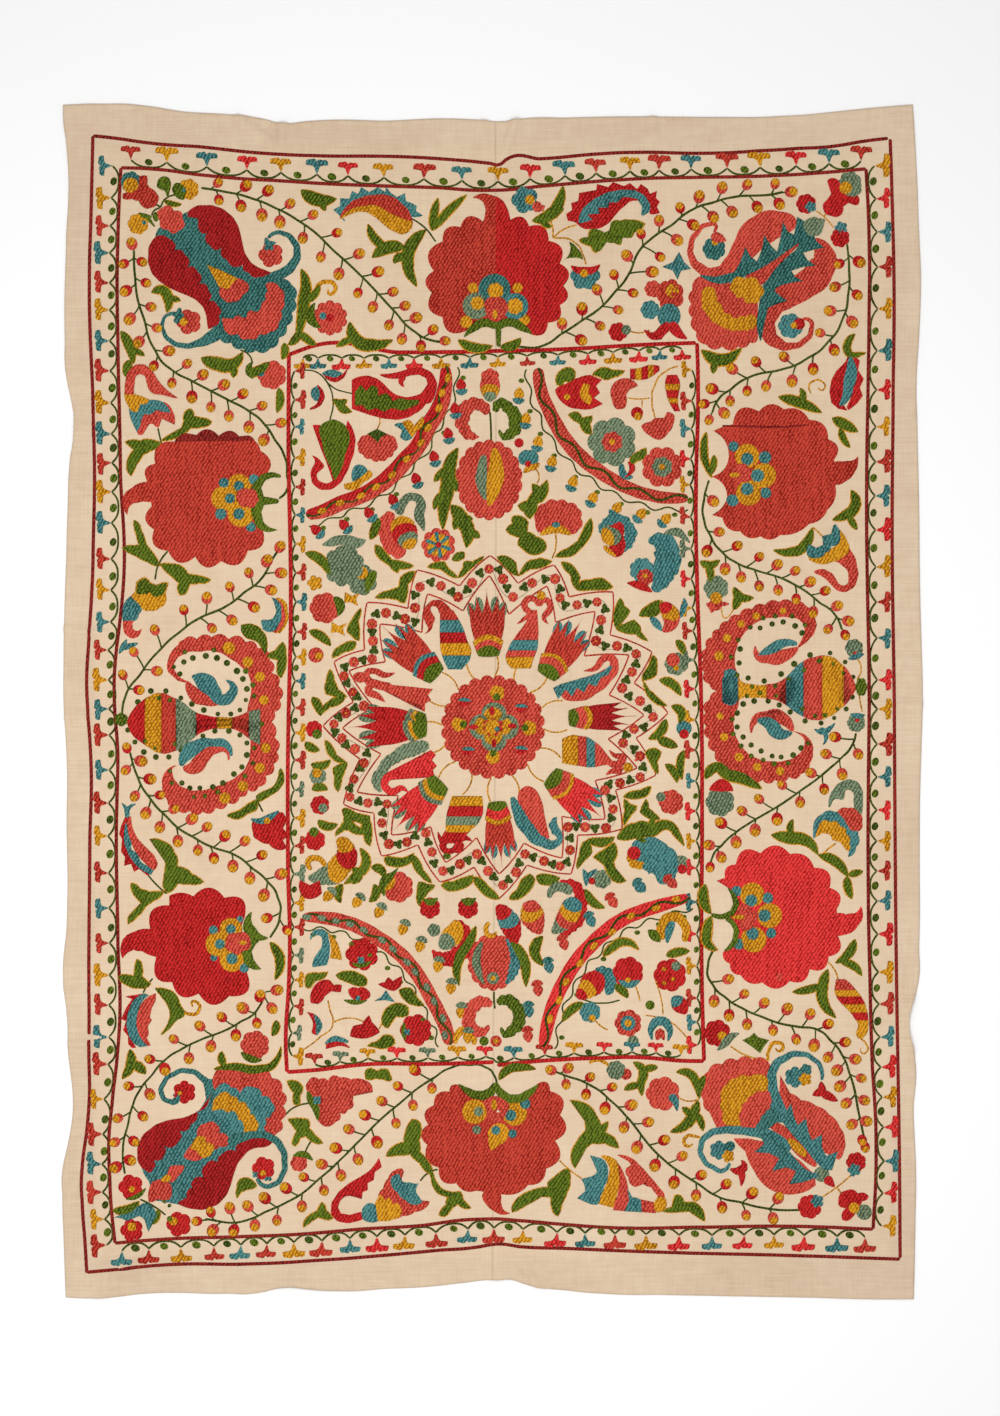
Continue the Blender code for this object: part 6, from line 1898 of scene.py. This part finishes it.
def fieldSides():
    # left, from the top down
    leaf("305,553 318,558 331,576", 5)
    bloom("ochre", 315, 583, 8, petals=5, depth=0.3, level=1)
    posies("rose,325,608,16")
    strips("leaf", 1, "334,597,2 340,605,5 338,616,1")
    for x, y in ((352, 598), (339, 628)):
        outline = ((x - 7, y - 6, 0), (x, y - 2, 0), (x + 8, y - 5, 0), (x + 4, y + 1, 0), (x + 6, y + 8, 0),
                   (x - 2, y + 4, 0), (x - 8, y + 5, 0))
        lobes("ochre", np.array(outline), 1, pole=(x, y))
    leaf("309,631 322,637 331,646", 4.6)
    posies("rose,316,655,8 ochre,319,656,4", "crimson,314,729,9 leaf,317,734,5",
           "sage,318,776,9 ochre,317,773,5", "crimson,320,805,10 sage,323,808,5",
           "crimson,315,840,11 leaf,314,832,5")
    leaves(4.4, "312,697 318,706 321,716", "305,742 312,748 320,750", "311,764 320,766 331,760",
           "312,790 319,787 328,790", "345,814 350,825 372,832", "318,820 326,826 338,824")
    tiers("338,838,4 346,850,9 340,866,11 324,876,9 308,878,2", "sage:1 ochre:.7 crimson:.46 ochre:.26", 0,
          teeth=(6, .8))
    ribbon("ochre", "326,866,2.4 316,858,3 308,862,3 311,870,2", 1)
    lobes("crimson", "300,880,0 310,885,0 320,880,0 322,893,.1 311,899,.2 300,892,.1", 1)
    leaf("360,848 366,862 356,875 344,884", 5)
    leaves(4.4, "343,884 338,893 341,903", "371,867 382,871 384,878", "374,884 376,893 369,902")
    # right
    tiers("660,604,3 668,611,8 671,621,8 663,632,2", "rose:1 ochre:.6 crimson:.35", 1)
    strips("blue", 0, "649,615,.6 655,622,4 662,631,1", "684,598,1 684,608,4 680,618,.8")
    leaf("646,616 656,612 662,600", 3)
    posies("sage,676,664,12 rose,673,660,7 ochre,676,668,3", "blue,684,728,8 crimson,684,734,5",
           "rose,671,802,13 sage,661,797,5", "sage,681,863,8 crimson,682,869,5", "rose,636,760,2")
    leaves(4, "665,764 675,774 677,783", "684,750 680,766 682,780", "676,640 682,648 684,655")
    leaf("617,838 635,828 650,832 663,825 678,836 684,846", 5.6)
    leaves(3.6, "648,830 652,822 652,816", "636,830 640,838 648,842")
    ribbon("blue", "633,858,8 645,852,14 656,858,16 664,872,13 660,884,4", 0, teeth=(8, 1.6))
    posies("ochre,638,858,12 crimson,634,853,7")
    posies("blue,640,887,6")
    # under the star
    for x in (430, 468):
        bloom("crimson", x, 908, 11, petals=6, level=0)
        ribbon("leaf", np.array(((x - 7, 899, 0.6), (x, 902, 4), (x + 8, 898, 0.6))), 1)
    posies("rose,398,887,16")
    ribbon("leaf", "384,896,.6 384,884,5 394,873,2 398,868,.6", 1)
    ribbon("ochre", "385,890,1 391,885,3 395,878,.8", 2)
    ribbon("crimson", "452,922,3 464,930,5 466,943,7 456,955,7 440,957,5 432,950,.8", 0, teeth=(7, 2))
    tiers("440,948,4 448,940,9 455,930,9 456,920,3", "ochre:1 sage:.5", 1)
    bloom("sage", 434, 930, 7, petals=5, level=0)
    tiers("497,905,3 506,917,9 512,930,9 514,946,2", "crimson:1 blue:.6 crimson:.36", 1, teeth=(6, .8))
    ribbon("ochre", "489,922,2 486,930,2.4 491,936,2.4 497,932,1", 1)
    tiers("533,900,5 532,912,11 535,922,10 541,934,2", "rose:1 ochre:.6 rose:.34", 1, teeth=(5, .8))
    ribbon("crimson", "557,889,4 568,884,4 579,892,5 581,908,5 572,926,5 560,936,.8", 0, teeth=(7, 2))
    ribbon("sage", "549,898,2 552,890,4 562,887,5 572,893,5", 1)
    tiers("574,897,8 571,909,10 564,921,9 552,933,2", "sage:1 rose:.76 ochre:.56 blue:.34", 1, teeth=(5, .8))
    strips("blue", 1, "583,869,.8 586,877,3 586,886,.8", "586,878,2.4 592,873,2.4 597,869,.6")
    posies("sage,602,879,10 crimson,592,881,3.6")
    leaf("585,889 592,901 605,908", 4.4)
    leaf("595,857 607,861 612,873 626,881", 5)
    # the lower pomegranate
    bloom("rose", 493, 962, 26, petals=14, depth=0.08, level=0, tall=1.12)
    ribbon("blue", "507,938,2 514,952,4 514,968,4.6 506,984,1", 1, teeth=(6, 1.6))
    ribbon("sage", "482,942,2 477,955,4 478,970,4 484,984,1", 1)
    posies("sage,493,978,7 ochre,493,978,3")
    stem("494,991 494,999 495,1009", 1.5)
    ribbon("rose", "492,1005,3 484,1002,4.6 474,1006,6 469,1017,6 474,1029,5 484,1031,3.4 489,1025,.8", 1,
           teeth=(6, 1.4))
    ribbon("leaf",
           "497,1003,3 505,1000,4.6 515,1006,5.4 519,1018,5.6 513,1029,4.6 504,1033,2.6 501,1027,.6", 1,
           teeth=(6, 1.4))
    leaf("476,926 468,944 458,962 459,986", 5.4)
    leaf("509,940 520,953 526,987", 5.4)
    leaf("543,936 535,948 543,966", 5.4)


def fieldCornersBottom():
    between("blue", "310,941 311,934 318,929 325,930 329,940 330,952 327,966",
            "310,941 315,936 320,936 322,942 318,952 313,960 312,968", 0)
    between("ochre", "325,930 334,938 340,950 342,960", "328,932 330,942 331,953 330,958", 1)
    posies("crimson,362,954,17,7,.16 blue,361,960,4.4,4,.4")
    strips("leaf", 1, "351,963,.6 361,965,3 372,961,.6")
    lobed("306,975,.1 318,973,0 328,972,.1 322,979,0 315,981,0 310,988,.1 306,987,.1", (315, 978))
    lobed("336,975,.1 348,971,.1 360,974,.1 367,979,.1 366,985,.1 355,985,0 342,980,.1", (352, 978))
    lobes("crimson", "311,1003,.1 312,990,.1 320,981,.1 330,980,0 334,985,.1 342,985,0 341,992,.1 "
          "333,990,0 325,996,.1 318,1004,0", 1, pole=(323, 990))
    lobes("crimson", "348,990,.2 358,988,.2 368,990,.2 370,997,.1 360,1001,.1 352,998,.1", 1, pole=(359, 995))
    strips("leaf", 1, "344,1000,.6 356,1002,2.6 367,1000,.6")
    bloom("blue", 358, 998, 3, level=2)
    lobes("crimson", "378,984 385,982 388,977 393,981 402,976 401,986 394,991 385,988", 1, bulge=0.05,
          pole=(392, 984))
    lobes("blue", "374,1001 381,997 386,990 390,996 395,1002 385,1000", 1, bulge=0, pole=(386, 997))
    lobed("399,990,.1 410,988,.15 415,995,0 424,1005,.1 414,1005,.1 405,1000,.1", (410, 997))
    lobed("382,1024,.1 385,1010,.1 397,1003,.1 408,1007,.1 408,1015,.1 396,1016,0 388,1028,.1", (393, 1012))
    lobes("crimson", "350,1036 353,1026 362,1024 369,1015 372,1022 380,1032 368,1038 357,1038", 1,
          bulge=0.05, pole=(366, 1030))
    lobed("367,1046,.1 376,1042,0 384,1035,.1 392,1036,.1 395,1043,.1 386,1048,.1 375,1047,0", (384, 1042))
    posies("crimson,416,1030,16.5,7,.14")
    strips("leaf", 1, "404,1022,.6 404,1031,3 405,1040,.6")
    bloom("blue", 407, 1032, 4, petals=4, depth=0.4, level=2)
    between("crimson", "307,1012 311,1018 313,1026 312,1033 318,1035",
            "308,1012 316,1015 320,1020 319,1028 318,1034", 1)
    between("blue", "314,1014 321,1021 321,1030 317,1035", "313,1014 315,1021 316,1028 315,1033", 2)
    between("crimson", "326,1044 333,1041 342,1042 350,1047", "326,1049 334,1047 342,1046 349,1048", 1)
    between("blue", "325,1043 331,1037 341,1037 349,1041", "326,1044 333,1042 341,1042 347,1043", 2)
    stem("372,1034 378,1030 382,1022", 1, "ochre")
    stem("303,1050 320,1037 333,1022 330,1010 328,1000", 1.2, "ochre")
    stem("333,1022 350,1018 365,1022", 1.2, "ochre")
    # right
    ribbon("ochre", "662,940,4 662,925,5 672,917,5.4 684,924,5 685,942,4", 0)
    ribbon("blue", "673,921,3 669,931,4 667,943,1", 1)
    strips("leaf", 1, "648,930,1 654,935,5 660,942,1")
    leaf("666,956 678,952 690,951", 4.4)
    leaf("603,957 613,947 626,942 639,950", 4.6)
    posies("crimson,628,972,16", "crimson,670,975,17 sage,676,966,5", "blue,590,1012,11 ochre,592,1018,4",
           "rose,628,1023,14 blue,628,1023,8 ochre,628,1023,4", "sage,633,1041,6", "leaf,650,1005,5")
    ribbon("blue", "618,980,1 628,984,4 640,980,1", 1)
    dots("ochre", "664,969,2.4 673,979,2.4 664,983,2.2 628,980,3", 2)
    tiers("577,998,3 586,990,9 596,981,11 604,976,6", "crimson:1 ochre:.6 crimson:.3", 1, teeth=(5, .8))
    ribbon("blue", "595,970,2 604,972,5 610,983,6 607,995,2", 0, teeth=(6, 1.4))
    stem("575,995 588,1001 602,1003 620,1000", 1.2)
    leaves(4.4, "614,985 622,990 628,998", "584,1003 571,1010 562,1022")
    tiers("672,997,3 680,1005,8 686,1014,2", "crimson:1 blue:.5", 1)
    ribbon("blue", "652,1040,1 652,1027,4 661,1021,5 669,1028,4 668,1041,1", 0)
    ribbon("rose", "657,1040,2 660,1032,4 664,1040,1", 1)
    stem("635,985 638,993 640,1001", 1.1, "ochre")
    stem("655,980 661,998 663,1015", 1.1, "ochre")
    stem("645,1015 665,1020 680,1030 692,1047", 1.1, "ochre")
    stem("595,1020 601,1026 608,1030", 1.1, "ochre")
    # at the foot of the pomegranate's fork
    ribbon("ochre", "455,1044,2 458,1034,4 466,1030,4 473,1036,4 474,1045,2", 0)
    posies("rose,496,1041,6 ochre,496,1041,3", "leaf,484,1041,5")


# Pieces from the sewn patches

def panel(name, sideSign, outerEdge):
    # one loom width: lines at even shares from the seam out to the edge and from hem to hem, closer
    # across the folds, with its hem a little thicker
    width, length, step, close = (cloth[key] for key in ("panelWidth", "length", "step", "closeStep"))

    def gridLines(low, high, spans):
        lines = list(np.linspace(low, high, int(np.ceil((high - low) / step)) + 1))
        for start, end in spans:
            start, end = max(start * mm, low), min(end * mm, high)
            if end > start:
                lines = [line for line in lines if not start < line < end]
                lines += list(np.linspace(start, end, int(np.ceil((end - start) / close)) + 1))
        lines = sorted(lines)
        return np.array([line for i, line in enumerate(lines) if i == 0 or line - lines[i - 1] > 0.3 * close])

    hem = cloth["hemWidth"] / mm
    half = length / 2 / mm
    outer = sideSign * width / mm
    sideHem = (outer - hem, outer) if sideSign > 0 else (outer, outer + hem)
    across = gridLines(min(0, outer * mm), max(0, outer * mm), closeColumns + (sideHem,))
    along = gridLines(-length / 2, length / 2, closeRows + ((-half, hem - half), (half - hem, half)))
    level, place = np.meshgrid(along, across, indexing="ij")
    share = np.abs(place) / width
    seamX = alongTable(seamLine, level)
    outerX = sideSign * (width + alongTable(outerEdge, level))
    x = seamX + (outerX - seamX) * share
    topY = length / 2 + alongTable(topEdge, x)
    bottomY = -length / 2 - alongTable(bottomEdge, x)
    y = bottomY + (topY - bottomY) * (level / length + 0.5)
    toEdge = np.minimum(np.minimum(topY - y, y - bottomY), np.abs(outerX - x))
    hemmed = softStep((cloth["hemWidth"] - toEdge) / 0.002) * softStep(toEdge / 0.001 + 0.4)
    z = clothHeight(x, y) + cloth["hemRise"] * hemmed
    rows, columns = x.shape
    first = (np.arange(rows - 1)[:, None] * columns + np.arange(columns - 1)[None, :]).reshape(-1)
    faces = np.column_stack((first, first + 1, first + columns + 1, first + columns))
    mesh = bpy.data.meshes.new(name)
    mesh.from_pydata(np.stack((x, y, z), axis=-1).reshape(-1, 3).tolist(), [], faces.tolist())
    mesh.materials.append(madeMaterials["cotton"])
    mesh.shade_smooth()
    piece = bpy.data.objects.new(name, mesh)
    bpy.context.scene.collection.objects.link(piece)
    solid = piece.modifiers.new("thickness", "SOLIDIFY")
    solid.thickness = cloth["thickness"]
    solid.offset = 1
    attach(piece, "root")
    return piece


def sewnPiece(part, thread, patches):
    # one object for all the stitching of one thread in one part of the cover
    places, laid, tones, faces, start = [], [], [], [], 0
    for flat, lift, grain, tone, patchFaces in patches:
        places.append(np.column_stack((flat, lift)))
        laid.append(grain)
        tones.append(tone)
        faces += [[corner + start for corner in face] for face in patchFaces]
        start += len(flat)
    places, laid, tones = np.concatenate(places), np.concatenate(laid), np.concatenate(tones)
    places[:, 2] += clothHeight(places[:, 0], places[:, 1]) + cloth["thickness"]
    name = thread + part
    mesh = bpy.data.meshes.new(name)
    mesh.from_pydata(places.tolist(), [], faces)
    corners = np.zeros(len(mesh.loops), int)
    mesh.loops.foreach_get("vertex_index", corners)
    mesh.uv_layers.new(name="laid").data.foreach_set("uv", laid[corners].astype(np.float32).ravel())
    mesh.attributes.new("tone", "FLOAT", "POINT").data.foreach_set("value", tones.astype(np.float32))
    mesh.materials.append(madeMaterials[thread])
    mesh.shade_smooth()
    piece = bpy.data.objects.new(name, mesh)
    bpy.context.scene.collection.objects.link(piece)
    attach(piece, "root")
    return len(faces)


frameLines()
guardBorders()
sprays()
largeFlowers()
corners()
palmetteTopLeft()
palmetteTopRight()
palmetteBottomLeft()
palmetteBottomRight()
topMiddle()
leftSide()
medallions()
rightSide()
bottomMiddle()
starLines()
starPetals()
starLeaves()
arcs()
fieldTopMotifs()
fieldCornersTop()
fieldSides()
fieldCornersBottom()
print("scene: the motifs are charted,", sum(len(patches) for patches in sewn.values()), "patches")

clothLeft = panel("clothLeft", -1, leftEdge)
clothRight = panel("clothRight", 1, rightEdge)
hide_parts("panel_left")
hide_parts("panel_right")
total = sum(sewnPiece(part, thread, patches) for (part, thread), patches in sorted(sewn.items()))
print("scene: sewn,", total, "faces")

# The camera and the light

view = {"lookX": 0.01235, "lookY": -0.0107, "lens": 85.0, "sensor": 36.0, "shown": 2.332}
studio = {"world": 0.66, "key": 34.0, "keySize": 1.6, "keyPlace": (-0.3, -0.35, 2.5), "floor": 0.98}


def cameraAndLight():
    cameraData = bpy.data.cameras.new("camera")
    cameraData.sensor_fit = "VERTICAL"
    cameraData.sensor_height = view["sensor"]
    cameraData.lens = view["lens"]
    camera = bpy.data.objects.new("camera", cameraData)
    camera.location = (view["lookX"], view["lookY"], view["shown"] * view["lens"] / view["sensor"])
    bpy.context.scene.collection.objects.link(camera)
    bpy.context.scene.camera = camera

    world = bpy.data.worlds.new("studio")
    world.use_nodes = True
    world.node_tree.nodes["Background"].inputs["Color"].default_value = (1, 1, 1, 1)
    world.node_tree.nodes["Background"].inputs["Strength"].default_value = studio["world"]
    bpy.context.scene.world = world

    lamp = bpy.data.lights.new("key", "AREA")
    lamp.size = studio["keySize"]
    lamp.energy = studio["key"]
    key = bpy.data.objects.new("key", lamp)
    key.location = studio["keyPlace"]
    key.visible_camera = False
    key.rotation_euler = (-key.location).to_track_quat("-Z", "Y").to_euler()
    bpy.context.scene.collection.objects.link(key)

    corners = [(-4, -4), (4, -4), (4, 4), (-4, 4)]
    mesh = bpy.data.meshes.new("floor")
    mesh.from_pydata([(x, y, -0.0006) for x, y in corners], [], [(0, 1, 2, 3)])
    finish = Finish("floor")
    finish.give(Base_Color=(studio["floor"],) * 3 + (1.0,), Roughness=0.9)
    mesh.materials.append(finish.material)
    floor = bpy.data.objects.new("floor", mesh)
    bpy.context.scene.collection.objects.link(floor)
    bpy.context.scene.view_settings.view_transform = "Standard"


cameraAndLight()
bpy.context.view_layer.update()
print("scene: camera and light are set")
